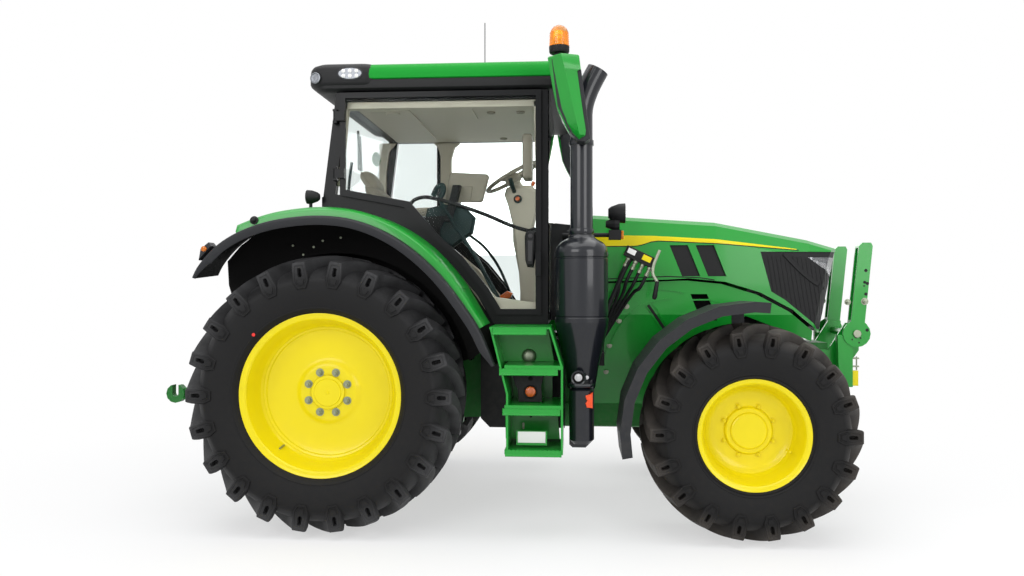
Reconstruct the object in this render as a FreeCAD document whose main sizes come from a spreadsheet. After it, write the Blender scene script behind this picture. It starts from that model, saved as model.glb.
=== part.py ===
import FreeCAD, Part
import math
import os
import re
import Sketcher

# Farm tractor, four-wheel drive, cab, rear and front linkage.
# X points forward, Y to the left and Z up. Z = 0 is the ground. Every formula below places
# its piece from the rear axle, and rear_axle_x then shifts the whole tractor so that the
# origin lies under the middle of its length. Lengths are in millimetres, angles in degrees.

SIZES = {
    "Stance": dict(rear_axle_x=-1125, wheelbase=2600, running_gap=0.05, seat_gap=0.3, seat_wall=6,
                   pivot_gap=1, move_gap=6),
    "Rear wheels": dict(
        rear_tyre_radius=865, rear_tyre_width=600, rear_tyre_y=940, rear_bead_radius=500,
        rear_bead_lip=8, rear_belly_radius=690, rear_belly_in=8, rear_crown=22, rear_lug_tall=66,
        rear_lug_deep=125, rear_lug_lean=117, rear_lug_wide=62, rear_lug_nose=34, lug_gap=12,
        rear_rim_width=490, rear_flange=30, rear_disc_y=40, rear_disc_radius=418,
        rear_disc_wall=16, rear_hub_radius=180, rear_hub_face=30, rear_stub_radius=50),
    "Front wheels": dict(
        front_tyre_radius=655, front_tyre_width=540, front_tyre_y=940, front_bead_radius=322,
        front_bead_lip=8, front_belly_radius=490, front_belly_in=8, front_crown=20,
        front_lug_tall=60, front_lug_deep=112, front_lug_lean=108, front_lug_wide=56,
        front_lug_nose=31, front_rim_width=470, front_flange=24, front_disc_y=40,
        front_disc_radius=250, front_disc_wall=14, front_hub_radius=135, front_hub_face=30,
        front_stub_radius=34),
    "Transmission": dict(
        gearbox_rear=-330, gearbox_front=700, gearbox_half=230, gearbox_low=500,
        gearbox_top=1160, bell_front=1400, bell_half=210, bell_low=600, bell_top=1120,
        case_cut=60, trumpet_root=190, trumpet_tip=120, trumpet_end=845,
        mount_long=90, rear_mount_x=40, front_mount_x=960, lift_case_half=200,
        lift_case_front=-170),
    "Engine": dict(
        engine_front="wheelbase - 370", engine_half=215, engine_waist=880, engine_top=1640, pan_low=600,
        frame_half=190, frame_wall=40, frame_low=570, frame_top=700,
        arch_rear="wheelbase - 410", arch_front="wheelbase - 240", arch_low=780, arch_top=920,
        bolster_rear="wheelbase + 160",
        bolster_front="wheelbase + 700", bolster_top=1140, cooler_rear="wheelbase + 240",
        cooler_front="wheelbase + 440",
        cooler_half=290, cooler_top=1730),
    "Front axle": dict(
        beam_half_x=66, beam_half_z=75, beam_end=612, diff_radius=140, diff_half=130,
        pivot_half_x=100, pivot_half_y=190, yoke_out=800, yoke_half_x=55, yoke_gap=130,
        yoke_wall=34, kingpin_y=740, kingpin_radius=20, shaft_radius=38,
        shaft_z=545, shaft_in=450),
    "Knuckles": dict(
        knuckle_radius=66, hub_radius=118, arm_back=150, arm_in=20,
        arm_half=30, arm_wall=30, arm_top=630, knuckle_gap=2, rod_radius=18, rod_z=655, rod_eye=30,
        rod_eye_wall=28, ram_radius=42, ram_half=250),
    "Front fenders": dict(
        wing_radius=785, wing_wall=12, wing_lip=62, wing_in=740, wing_out=1180, wing_front=83,
        wing_rear=191, stay_half=40, stay_wall=12, stay_y=645, stay_z=826),
    "Rear fenders": dict(
        fender_x=-150, fender_z=752, fender_radius=1279, fender_out_radius=1258,
        fender_wall=14, fender_in=600, fender_out=1170, fender_fall=120, fender_tail_turn=39,
        flare_out=1240, flare_wall=26, flare_step_in=4, flare_skirt=56, flare_front_z=1020,
        flare_top_x=-60, flare_tail_radius=860, flare_tail_turn=57.6, flare_step=15, shell_wall=12,
        inner_gap=1, wall_rear_x=-640, wall_knee_z=1500, wall_low_x=-560, wall_low_z=1250),
    "Cab": dict(
        cab_half=820, pillar_wall=60, a_rear=1325, a_front=1377, a_top=2790, sill_z=1352,
        sill_wall=62, c_low_rear=-95, c_low_front=-20, c_top_rear=0, c_top_front=75,
        waist_z=2045, rail_wall=55, b_rear=400, b_front=480, floor_wall=30, well_half=600,
        well_wall=15, liner_gap=3, liner_wall=12, band_knee_x=430,
        band_knee_z=2033, band_rear_z=2112, lip=22),
    "Roof": dict(
        roof_rear=-270, roof_front=1520, roof_half="cab_half + 40", eave_wall=72, roof_edge=88,
        roof_crown=45, roof_corner=90, roof_lip=5, roof_draw=25, roof_inset=205,
        aerial_x=938, aerial_y=500, aerial_foot=9, aerial_radius=3, aerial_tall=330, headliner_wall=60,
        headliner_half="cab_half - 85"),
    "Glass": dict(glass_wall=6, windscreen_top=2780),
    "Doors": dict(
        door_rear=32, door_front=1335, door_top=2784, door_knee_x=452, door_knee_z=2041,
        door_rear_z=2121, door_arc_x=640, door_reach=66, door_rim=36, door_wall=24,
        door_gap=6, hinge_x=4, hinge_out=40, hinge_barrel=13, hinge_pin=8, hinge_tall=60,
        hinge_ear=14, hinge_low_z=2230, hinge_high_z=2600, left_hinge_x=1363,
        left_door_rear=474, handle_z=1600, handle_high_z=2080, handle_tall=150, handle_deep=38),
    "Hood": dict(
        hood_rear=1600, hood_nose="wheelbase + 785", nose_low_x="wheelbase + 662", nose_lean=50,
        nose_bow=640, nose_room=60, hood_half_rear=430, hood_half_nose=350,
        hood_top_rear=2045, hood_top_mid=1985, hood_top_nose=1790, hood_mid="wheelbase - 100",
        hood_crown=34, hood_shoulder=90, hood_wall=14, hood_low=1560, hood_arc_x="wheelbase - 430",
        hood_nose_low=1215, hood_arc_radius=1250, hood_hinge_z=1995, hood_hinge_x=1616, hood_hinge_radius=10,
        hood_barrel=18, hood_ear=14, hood_hinge_y=220, hood_hinge_half=20, cowl_top=1950, cowl_half=400,
        cowl_front=1560, cowl_low=1300, cowl_gap=20, cowl_rise=20, hinge_plate=12,
        hood_chin=180, hood_rise=18, vent_x="wheelbase - 413", vent_next=174, vent_wide=122,
        vent_slant=84, vent_top=1811, vent_low=1600, vent_rim=10,
        grille_rear="wheelbase + 195", grille_slant=73, grille_knee_z=1497, grille_low_z=1240,
        grille_foot=70, grille_top_in=24, grille_wall=10, grille_inset=4, headlight_low=1600,
        headlight_back="wheelbase + 510",
       ),
    "Side panels": dict(
        shield_rear=1640, shield_top_half=404, shield_low_half=186, shield_flare=55, shield_wall=8,
        shield_front="wheelbase + 550", shield_knee="wheelbase - 490", shield_nose_drop=70, shield_waist=900,
        shield_brow=1340, shield_arch_z=1120, shield_step=60, hood_gap=11,
        slot_x="wheelbase - 270", slot_top=1480, slot_low=1300, slot_wide=112, slot_slant=70),
    "Cab inside": dict(
        seat_x=60, seat_wide=500, seat_deep=480, seat_z=1830, cushion_tall=120,
        back_tall=620, back_deep=120, base_half=170, console_in=300,
        column_x=1180, column_radius=60, column_lean=22, column_tall=560, wheel_radius=200,
        wheel_grip=16, dash_half=190),
    "Exhaust": dict(
        stack_x="wheelbase - 1010", stack_y=945, stack_radius=72, stack_top=2700, stack_tip=2890,
        can_radius=165, can_low=1300, can_top=1750, can_neck=1850, can_taper_low=915,
        can_foot_half=78, can_foot_low=540, can_foot_cut=50, stack_kick=100, bracket_half=30),
    "Steps": dict(
        step_front="wheelbase - 1122", step_front_top="wheelbase - 1195", step_rear=1040, step_lean=100,
        step_knee=1048, step_top=1288, step_low=530,
        step_out="cab_half + 380", step_in="cab_half - 20", step_wall=12,
        tread_two=797, tread_three=1035, tank_rear=920, tank_front="wheelbase - 1120", tank_in=245,
        tank_out=590, tank_low=590, tank_top=1180),
    "Mirrors": dict(
        mirror_x=1400, mirror_y="cab_half + 310", mirror_half=95, mirror_deep=150, mirror_top=2919,
        mirror_low=2390, mirror_lean=90, mirror_nose=20, mirror_arm=20, mirror_arm_x=1425, beacon_x=1455,
        beacon_base=34, beacon_dome=150, beacon_radius=62),
    "Lamps": dict(
        lamp_radius=30, lamp_long=72, lamp_deep=60, lamp_proud=8, lamp_x=106, post_in=60,
        post_tall=95, post_radius=12, post_sink=11.5, marker_x=1850, marker_y=620, marker_z=1870, marker_half=32,
        marker_lens=18, marker_box=80, marker_arm=14, marker_arm_x=1480),
    "Rear linkage": dict(
        link_y=450, lift_arm_y=358, link_x=-150, link_z=500, claw_x=-1250, claw_z=780,
        link_wall=38, link_tall=80, link_pin=18, claw_out=66, claw_bore=22, claw_wall=10,
        arm_x=-250, arm_z=1230, lift_arm=330, lift_angle=150, lift_arm_wall=36, lift_arm_tall=76,
        lift_pin=30, lift_share=0.47, lift_rod_radius=20, lift_eye=34, lift_eye_half=21,
        lift_rod_y=404, lift_foot_pin=12,
        top_link_x=-385, top_link_z=930, top_link_radius=20, top_link_long=560,
        top_link_eye=38, top_link_bore=12.7, top_link_half=22, top_link_lean=55, ear_wall=20,
        pto_radius=17.5, pto_z=600,
        pto_long=85, drawbar_z=455, drawbar_half=45, drawbar_wall=40, drawbar_end=-620, hanger_x=-60,
        drawbar_bore=16),
    "Front linkage": dict(
        front_link_x="wheelbase + 860", front_link_z=1210, front_link_y=270, front_link_tall=620,
        front_link_deep=92, front_link_half=39, front_link_web=12, front_pin=16,
        front_disc_plate=92, hook_out=68, hook_tall=62, hook_wall=16,
        front_plate_wall=18, front_plate_top=1280, front_plate_low=790, front_plate_rear="wheelbase + 480",
        front_tube=30, front_boss=46, front_lean=60),
    "Coupler": dict(coupler_x="wheelbase - 560", coupler_y=600, coupler_z=1740, coupler_wide=130,
                    coupler_deep=40, coupler_tall=90, coupler_post="wheelbase - 887"),
}

doc = FreeCAD.newDocument("Tractor")
sheet = doc.addObject("Spreadsheet::Sheet", "Sizes")
row = 0
for title, group in SIZES.items():
    row += 1
    sheet.set(f"A{row}", title)
    for alias, value in group.items():
        row += 1
        sheet.set(f"A{row}", alias.replace("_", " "))
        sheet.set(f"B{row}", f"={value}")
        sheet.setAlias(f"B{row}", alias)
doc.recompute()

PLANES = {"side": "XZ_Plane", "front": "YZ_Plane", "top": "XY_Plane"}
TURNS = {
    "x": FreeCAD.Rotation(FreeCAD.Vector(0, 1, 0), 90),
    "y": FreeCAD.Rotation(FreeCAD.Vector(1, 0, 0), -90),
    "z": FreeCAD.Rotation(),
}
nodes = {}


def formula(text):
    """Write the names in a formula as cells of the sheet."""
    return re.sub(r"\b[a-z][a-z0-9_]*\b(?!\()", lambda word: "Sizes." + word.group(), str(text))


def number(text):
    """The present value of a formula."""
    return float(sheet.evalExpression(formula(text)))


def place(item, x, y, z):
    """Bind where an object stands."""
    item.setExpression("Placement.Base.x", formula(x))
    item.setExpression("Placement.Base.y", formula(y))
    item.setExpression("Placement.Base.z", formula(z))
    return item


def node(label, item):
    """Name a finished sub-part and shift it from the rear axle to the tractor's origin."""
    item.Label = label
    item.setExpression("Placement.Base.x", formula("rear_axle_x"))
    nodes[label] = item
    return item


def mirrored_node(label, item):
    """The left-hand twin of a finished right-hand sub-part."""
    twin = mirrored(item)
    twin.Label = label
    nodes[label] = twin
    return twin


FLAT_LIMIT = 0.01  # mm that a face's fourth corner may lie off its plane
FLAT_SAG = 6       # mm that a flat may lie inside the arc that it stands for


def draw(profile, outline):
    """Add one closed outline to a sketch and bind every corner to its formulas.

    A corner is (u, v), or (u, v, r) where an arc of that radius leaves it: counter-clockwise
    for a positive r, clockwise for a negative one. (u, v, r, centre) names the arc's centre
    too. ("circle", u, v, r) is a whole circle, which stays round.
    """
    if outline[0] == "circle":
        centre = FreeCAD.Vector(number(outline[1]), number(outline[2]), 0)
        edge = profile.addGeometry(Part.Circle(centre, FreeCAD.Vector(0, 0, 1), number(outline[3])), False)
        pin(profile, edge, 3, outline[1], outline[2])
        size = profile.addConstraint(Sketcher.Constraint("Radius", edge, number(outline[3])))
        profile.setExpression(f"Constraints[{size}]", formula(outline[3]))
        return
    outline = flats(outline)
    spots = [FreeCAD.Vector(number(u), number(v), 0) for u, v in outline]
    edges = [profile.addGeometry(Part.LineSegment(here, there), False)
             for here, there in zip(spots, spots[1:] + spots[:1])]
    for corner, this, after in zip(outline, edges, edges[1:] + edges[:1]):
        profile.addConstraint(Sketcher.Constraint("Coincident", this, 2, after, 1))
        pin(profile, this, 1, *corner)


def flats(outline):
    """An outline's corners, with flats that sag by about FLAT_SAG in place of every arc.

    Their corners lie at whole steps round the arc's centre, so that arcs about one centre
    keep an even gap.
    """
    corners = []
    for corner, after in zip(outline, outline[1:] + outline[:1]):
        corners.append(corner[:2])
        if len(corner) == 2:
            continue
        radius, turn = f"abs({corner[2]})", math.copysign(1, number(corner[2]))
        centre = corner[3] if len(corner) == 4 else arc_centre(corner, after, radius, turn)
        mid_u, mid_v = (number(value) for value in centre)
        first, last = (math.degrees(math.atan2(number(v) - mid_v, number(u) - mid_u))
                       for u, v in (corner[:2], after[:2]))
        last += 360*turn*((last - first)*turn < 0)
        widest = 2*math.degrees(math.acos(1 - FLAT_SAG/number(radius)))
        step = 45/max(1, round(45/widest))
        low, high = sorted((first, last))
        turns = [step*count for count in range(math.ceil(low/step + 0.2), math.floor(high/step - 0.2) + 1)]
        for angle in turns if turn > 0 else reversed(turns):
            corners.append((f"{centre[0]} + {radius}*cos({angle})", f"{centre[1]} + {radius}*sin({angle})"))
    return corners


def arc_centre(start, end, radius, turn):
    """Centre of an arc from its ends: left of the way it runs when it turns counter-clockwise."""
    across, up = f"(({end[0]}) - ({start[0]}))", f"(({end[1]}) - ({start[1]}))"
    reach = f"({turn}*sqrt(({radius})^2/({across}^2 + {up}^2) - 0.25))"
    return (f"(({start[0]}) + {across}/2 - {up}*{reach})", f"(({start[1]}) + {up}/2 + {across}*{reach})")


def pin(profile, edge, end, u, v):
    """Bind one point of a sketch to the formulas of its two coordinates."""
    for kind, text in (("DistanceX", u), ("DistanceY", v)):
        rule = profile.addConstraint(Sketcher.Constraint(kind, -1, 1, edge, end, number(text)))
        profile.setExpression(f"Constraints[{rule}]", formula(text))


def sketch(body, view, outlines, level="0"):
    """Closed outlines on one of the body's planes, moved to a level across that plane."""
    profile = body.newObject("Sketcher::SketchObject", "Profile")
    plane = next(item for item in body.Origin.OriginFeatures if item.Role == PLANES[view])
    profile.AttachmentSupport = [(plane, "")]
    profile.MapMode = "FlatFace"
    offset = f"-({level})" if view == "side" else level
    profile.setExpression("AttachmentOffset.Base.z", formula(offset))
    for outline in outlines:
        draw(profile, outline)
    return profile


def slab(name, view, outlines, low, high):
    """A plate or block: outlines seen in one view, padded from one level to another."""
    body = doc.addObject("PartDesign::Body", name)
    profile = sketch(body, view, outlines, high if view == "side" else low)
    pad = body.newObject("PartDesign::Pad", "Pad")
    pad.Profile = profile
    pad.setExpression("Length", formula(f"({high})-({low})"))
    return body


def turned(name, outline):
    """A body of revolution about the Y axis, from an outline of (y, radius) corners."""
    body = doc.addObject("PartDesign::Body", name)
    profile = sketch(body, "front", [outline])
    spin = body.newObject("PartDesign::Revolution", "Revolution")
    spin.Profile = profile
    spin.ReferenceAxis = (profile, ["H_Axis"])
    spin.Angle = 360
    return body


def loft(name, view, sections):
    """A body lofted through outlines at their levels."""
    body = doc.addObject("PartDesign::Body", name)
    profiles = [sketch(body, view, [outline], level) for level, outline in sections]
    skin = body.newObject("PartDesign::AdditiveLoft", "Loft")
    skin.Profile = profiles[0]
    skin.Sections = profiles[1:]
    skin.Ruled = True
    return body


def flat_faced(name, item):
    """The same straight-edged solid with each ruled face as one true plane, or two where it twists."""
    doc.recompute()
    faces = []
    for face in item.Shape.Faces:
        corners = [vertex.Point for vertex in face.OuterWire.OrderedVertexes]
        loops = [corners]
        if len(corners) == 4:
            normal = (corners[1] - corners[0]).cross(corners[2] - corners[0]).normalize()
            if abs((corners[3] - corners[0]).dot(normal)) > FLAT_LIMIT:
                loops = [corners[:3], [corners[0], corners[2], corners[3]]]
        faces += [Part.Face(Part.makePolygon(loop + loop[:1])) for loop in loops]
    shell = Part.makeShell(faces)
    shell.sewShape()
    solid = Part.makeSolid(shell)
    flat = doc.addObject("Part::Feature", name)
    flat.Shape = solid if solid.Volume > 0 else solid.reversed()
    return flat


def block(name, x, y, z):
    """A box between pairs of formulas."""
    item = doc.addObject("Part::Box", name)
    for side, (low, high) in zip(("Length", "Width", "Height"), (x, y, z)):
        item.setExpression(side, formula(f"({high})-({low})"))
    return place(item, x[0], y[0], z[0])


def rod(name, axis, radius, length, x, y, z):
    """A cylinder that starts at a point and runs along an axis."""
    item = doc.addObject("Part::Cylinder", name)
    item.setExpression("Radius", formula(radius))
    item.setExpression("Height", formula(length))
    item.Placement.Rotation = TURNS[axis]
    return place(item, x, y, z)


def cone(name, axis, first, last, length, x, y, z):
    """A cone frustum that starts at a point and runs along an axis."""
    item = doc.addObject("Part::Cone", name)
    item.setExpression("Radius1", formula(first))
    item.setExpression("Radius2", formula(last))
    item.setExpression("Height", formula(length))
    item.Placement.Rotation = TURNS[axis]
    return place(item, x, y, z)


BAR_SIDES = 8     # flats round a slender bar
WHEEL_SIDES = 16  # flats round the steering wheel's hoop
POST_SIDES = 12   # flats round a lamp, canister or casting
HUB_SIDES = 16    # flats round the raised middle of a wheel
LUGS = {"rear": 22, "front": 18}  # lugs on each side of a tyre, and flats round it


def many_sided(sides, radius, foot, along):
    """A prism with a regular outline, standing on foot and reaching along a vector."""
    across = along.cross(FreeCAD.Vector(0, 1, 0))
    if across.Length < FLAT_LIMIT:
        across = FreeCAD.Vector(1, 0, 0)
    across.normalize()
    side = along.cross(across).normalize()
    corners = []
    for step in range(sides + 1):
        turn = 2*math.pi*(step % sides + 0.5)/sides
        corners.append(foot + across*(radius*math.cos(turn)) + side*(radius*math.sin(turn)))
    return Part.Face(Part.makePolygon(corners)).extrude(along)


def bar(name, radius, start, end):
    """A slender bar with flats from one point to another, its ends given as triples of formulas."""
    a = FreeCAD.Vector(*(number(value) for value in start))
    b = FreeCAD.Vector(*(number(value) for value in end))
    item = doc.addObject("Part::Feature", name)
    item.Shape = many_sided(BAR_SIDES, number(radius), a, b - a)
    return item


def drum(name, axis, sides, stations, x="0", y="0", z="0"):
    """A straight-edged solid through regular outlines of (level, radius) along an axis."""
    rings = []
    for level, radius in stations:
        ring = doc.addObject("Part::RegularPolygon", "Ring")
        ring.Polygon = sides
        ring.setExpression("Circumradius", formula(radius))
        ring.Placement.Rotation = TURNS[axis]
        spot = {"x": x, "y": y, "z": z}
        spot[axis] = f"({spot[axis]}) + ({level})"
        rings.append(place(ring, spot["x"], spot["y"], spot["z"]))
    skin = doc.addObject("Part::Loft", name + "Loft")
    skin.Sections = rings
    skin.Solid = skin.Ruled = True
    return flat_faced(name, skin)


def ring_of(name, item, count, start):
    """Copies of a solid round the Y axis, the first turned by a share of one step."""
    doc.recompute()
    copies = []
    for step in range(count):
        copies.append(item.Shape.copy())
        copies[-1].rotate(FreeCAD.Vector(), FreeCAD.Vector(0, 1, 0), 360*(step + start)/count)
    ring = doc.addObject("Part::Feature", name)
    ring.Shape = Part.makeCompound(copies)
    return ring


def fuse(name, *items):
    """One solid from pieces that touch or overlap."""
    item = doc.addObject("Part::MultiFuse", name)
    item.Shapes = list(items)
    item.Refine = True
    return item


def cut(name, base, *tools):
    """A solid with the tools taken out."""
    item = doc.addObject("Part::Cut", name)
    item.Base = base
    item.Tool = tools[0] if len(tools) == 1 else fuse(name + "Tools", *tools)
    item.Refine = True
    return item


def common(name, base, tool):
    """What two solids share."""
    item = doc.addObject("Part::Common", name)
    item.Base = base
    item.Tool = tool
    item.Refine = True
    return item


def group(name, *items):
    """Separate solids that share a node."""
    item = doc.addObject("Part::Compound", name)
    item.Links = list(items)
    return item


def mirrored(item):
    """The same piece on the other side of the tractor."""
    twin = doc.addObject("Part::Mirroring", item.Name + "Twin")
    twin.Source = item
    twin.Base = FreeCAD.Vector(0, 0, 0)
    twin.Normal = FreeCAD.Vector(0, 1, 0)
    return twin


def both(item):
    """A piece and its mirror image, as two solids."""
    return group(item.Name + "Pair", item, mirrored(item))


def arc_z(x, radius):
    """Height at x of a circle about the rear fender's centre."""
    return f"fender_z + sqrt(({radius})^2 - (({x}) - fender_x)^2)"


def arc_x(z, radius):
    """Forward reach at height z of a circle about the rear fender's centre."""
    return f"fender_x + sqrt(({radius})^2 - (({z}) - fender_z)^2)"


# Wheels: built about their own axle line, then set on it.

def tyre(end):
    """A tyre with its bead and sidewalls, and a lug on alternate sides all round its tread."""
    half, tip = f"{end}_tyre_width/2", f"{end}_tyre_radius"
    side = [(f"{end}_rim_width/2", f"{end}_bead_radius + {end}_bead_lip"),
            (f"{half} - {end}_belly_in", f"{end}_belly_radius"),
            (f"{half} - {end}_crown", f"{tip} - {end}_lug_tall")]
    stations = [(f"-({y})", radius) for y, radius in side] + side[::-1]
    bore = [(f"-({half})", f"{end}_bead_radius"), (half, f"{end}_bead_radius")]
    carcass = cut("Carcass", drum("CarcassForm", "y", LUGS[end], stations),
                  drum("TyreBore", "y", LUGS[end], bore))
    bar_form = lug(end)
    return fuse("Tyre", carcass, ring_of("OuterLugs", bar_form, LUGS[end], 0),
                ring_of("InnerLugs", mirrored(bar_form), LUGS[end], 0.5))


def lug(end):
    """One lug at the top of the wheel, which leans as it runs from the shoulder to the middle.

    Its flat top lies as low as puts its far corners on the tyre's full radius.
    """
    lean, wide, nose = (f"{end}_lug_{part}" for part in ("lean", "wide", "nose"))
    half = f"{end}_tyre_width/2"
    reach = f"{lean} + {wide}"
    top = f"sqrt({end}_tyre_radius^2 - ({reach})^2)"
    return slab("Lug", "top", [[
        (reach, half), (f"{lean} - {wide}", half),
        (f"-{lean} - {nose}", "lug_gap"), (f"{nose} - {lean}", "lug_gap")]],
        f"{end}_tyre_radius - {end}_lug_deep", top)


def rim(end):
    """A dished disc wheel: flange, sloping well, disc and a raised hub with its blind bore."""
    half, disc, wall = f"{end}_rim_width/2", f"{end}_disc_y", f"{end}_disc_wall"
    seat = f"{end}_bead_radius - seat_gap"
    flange = f"{end}_bead_radius - {end}_flange"
    inner = f"{end}_disc_radius"
    form = drum("RimDrum", "y", LUGS[end], [(f"-({half})", seat), (half, seat)])
    dish = drum("RimDish", "y", LUGS[end], [(disc, inner), (f"{half} + 1", flange)])
    back = drum("RimBack", "y", LUGS[end], [(f"-({half}) - 1", flange),
                                            (f"{disc} - {wall}", f"{inner} + {wall}")])
    hub = drum("RimHub", "y", HUB_SIDES, [
        (f"{disc} - {wall}", f"{end}_hub_radius*1.1"), (disc, f"{end}_hub_radius*1.1"),
        (f"{disc} + {end}_hub_face", f"{end}_hub_radius")])
    bore = rod("RimBore", "y", f"{end}_stub_radius + running_gap", f"{end}_hub_face", "0",
               f"{disc} - {wall}", "0")
    return cut("Rim", fuse("RimSolid", cut("RimShell", form, dish, back), hub), bore)


def wheel(end, x):
    """The right wheel of one axle and its left twin."""
    for kind, piece in (("tyre", tyre(end)), ("rim", rim(end))):
        piece.Placement.Rotation = FreeCAD.Rotation(FreeCAD.Vector(0, 0, 1), 180)
        place(piece, f"rear_axle_x + {x}", f"-{end}_tyre_y", f"{end}_tyre_radius")
        piece.Label = f"{kind}_{end}_right"
        nodes[piece.Label] = piece
        mirrored_node(f"{kind}_{end}_left", piece)


wheel("rear", "0")
wheel("front", "wheelbase")


# Driveline and frame: transmission, engine, rails and what cools the engine.

def transmission():
    """Gearbox and clutch housing with the two axle trumpets and their stubs."""
    axle = "rear_tyre_radius"
    case = slab("Gearbox", "side", [[
        ("gearbox_rear", "gearbox_low + case_cut"), ("gearbox_rear + case_cut*1.5", "gearbox_low"),
        ("gearbox_front", "gearbox_low"), ("gearbox_front", "bell_low"),
        ("gearbox_front", "bell_top"), ("gearbox_front - case_cut", "gearbox_top"),
        ("gearbox_rear", "gearbox_top")]], "-gearbox_half", "gearbox_half")
    bell = block("Bell", ("gearbox_front", "bell_front"), ("-bell_half", "bell_half"),
                 ("bell_low", "bell_top"))
    trumpet = drum("Trumpet", "y", POST_SIDES, [
        ("-trumpet_end", "trumpet_tip"), ("-gearbox_half", "trumpet_root")], z=axle)
    stub_end = "rear_tyre_y + rear_disc_y + rear_hub_face - rear_disc_wall - move_gap"
    stub = rod("Stub", "y", "rear_stub_radius", f"{stub_end} - trumpet_end",
               "0", f"-({stub_end})", axle)
    floor_z = "sill_z - sill_wall"
    mounts = [
        block("RearMount", ("rear_mount_x", "rear_mount_x + mount_long"), ("-gearbox_half", "gearbox_half"),
              ("gearbox_top", floor_z)),
        block("FrontMount", ("front_mount_x", "front_mount_x + mount_long"), ("-bell_half", "bell_half"),
              ("bell_top", floor_z))]
    lift_case = block("LiftCase", ("gearbox_rear", "lift_case_front"), ("-lift_case_half", "lift_case_half"),
                      ("gearbox_top", "arm_z + lift_pin*2"))
    link_half = "link_y + link_wall"
    shaft_end = rod("LinkShaft", "y", "link_pin", f"{link_half} - gearbox_half", "link_x", f"-({link_half})",
                    "link_z")
    boss = drum("LinkBoss", "y", POST_SIDES, [
        ("link_wall - link_y", "link_pin*2"), ("-gearbox_half", "link_pin*2.4")], "link_x", z="link_z")
    ears = [block("TopLinkEar", ("top_link_x - top_link_eye", "gearbox_rear"), (low, f"{low} + ear_wall"),
                  ("top_link_z - top_link_eye", "top_link_z + top_link_eye"))
            for low in ("-(top_link_half + pivot_gap + ear_wall)", "top_link_half + pivot_gap")]
    top_pin = rod("TopLinkPin", "y", "top_link_bore - running_gap",
                  "2*(top_link_half + pivot_gap + ear_wall/2)",
                  "top_link_x", "-(top_link_half + pivot_gap + ear_wall/2)", "top_link_z")
    halves = [item for piece in (trumpet, stub, shaft_end, boss) for item in (piece, mirrored(piece))]
    solid = fuse("Housings", case, bell, *mounts, lift_case, *ears, top_pin, *halves)
    bore = rod("LiftBore", "y", "lift_pin + running_gap", "2*lift_case_half", "arm_x", "-lift_case_half",
               "arm_z")
    node("transmission", cut("Transmission", solid, bore))


def engine():
    """The engine as one plain block over its narrower pan."""
    base = block("EngineBase", ("bell_front", "engine_front"), ("-engine_half", "engine_half"),
                 ("engine_waist", "bell_top"))
    top = block("EngineTop", ("cowl_front + cowl_gap", "engine_front"), ("-engine_half", "engine_half"),
                ("bell_top", "engine_top"))
    pan_half = "frame_half - frame_wall"
    pan = block("Pan", ("bell_front", "engine_front - 100"), (f"-({pan_half})", pan_half),
                ("pan_low", "engine_waist"))
    node("engine_block", fuse("EngineBlock", base, top, pan))


def frame():
    """Two rails that arch over the front axle, joined by the cast front support."""
    rail = slab("Rail", "side", [[
        ("bell_front", "frame_low"), ("arch_rear", "frame_low"), ("arch_front", "arch_low"),
        ("bolster_front", "arch_low"), ("bolster_front", "arch_top"),
        ("arch_front - 90", "arch_top"), ("arch_rear - 60", "frame_top"),
        ("bell_front", "frame_top")]], "-frame_half", "frame_wall - frame_half")
    support = slab("Support", "side", [[
        ("bolster_rear", "arch_low"), ("bolster_front", "arch_low"),
        ("bolster_front", "bolster_top"), ("bolster_rear", "bolster_top")]],
        "-frame_half", "frame_half")
    node("frame_rails", fuse("FrameRails", rail, mirrored(rail), support))
    cooler = block("Cooler", ("cooler_rear", "cooler_front"), ("-cooler_half", "cooler_half"),
                   ("bolster_top", "cooler_top"))
    node("cooling_pack", group("CoolingPack", cooler))


transmission()
engine()
frame()


# Front axle, knuckles, steering rod and the fenders that turn with the wheels.

AXLE_Z = "front_tyre_radius"


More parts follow.
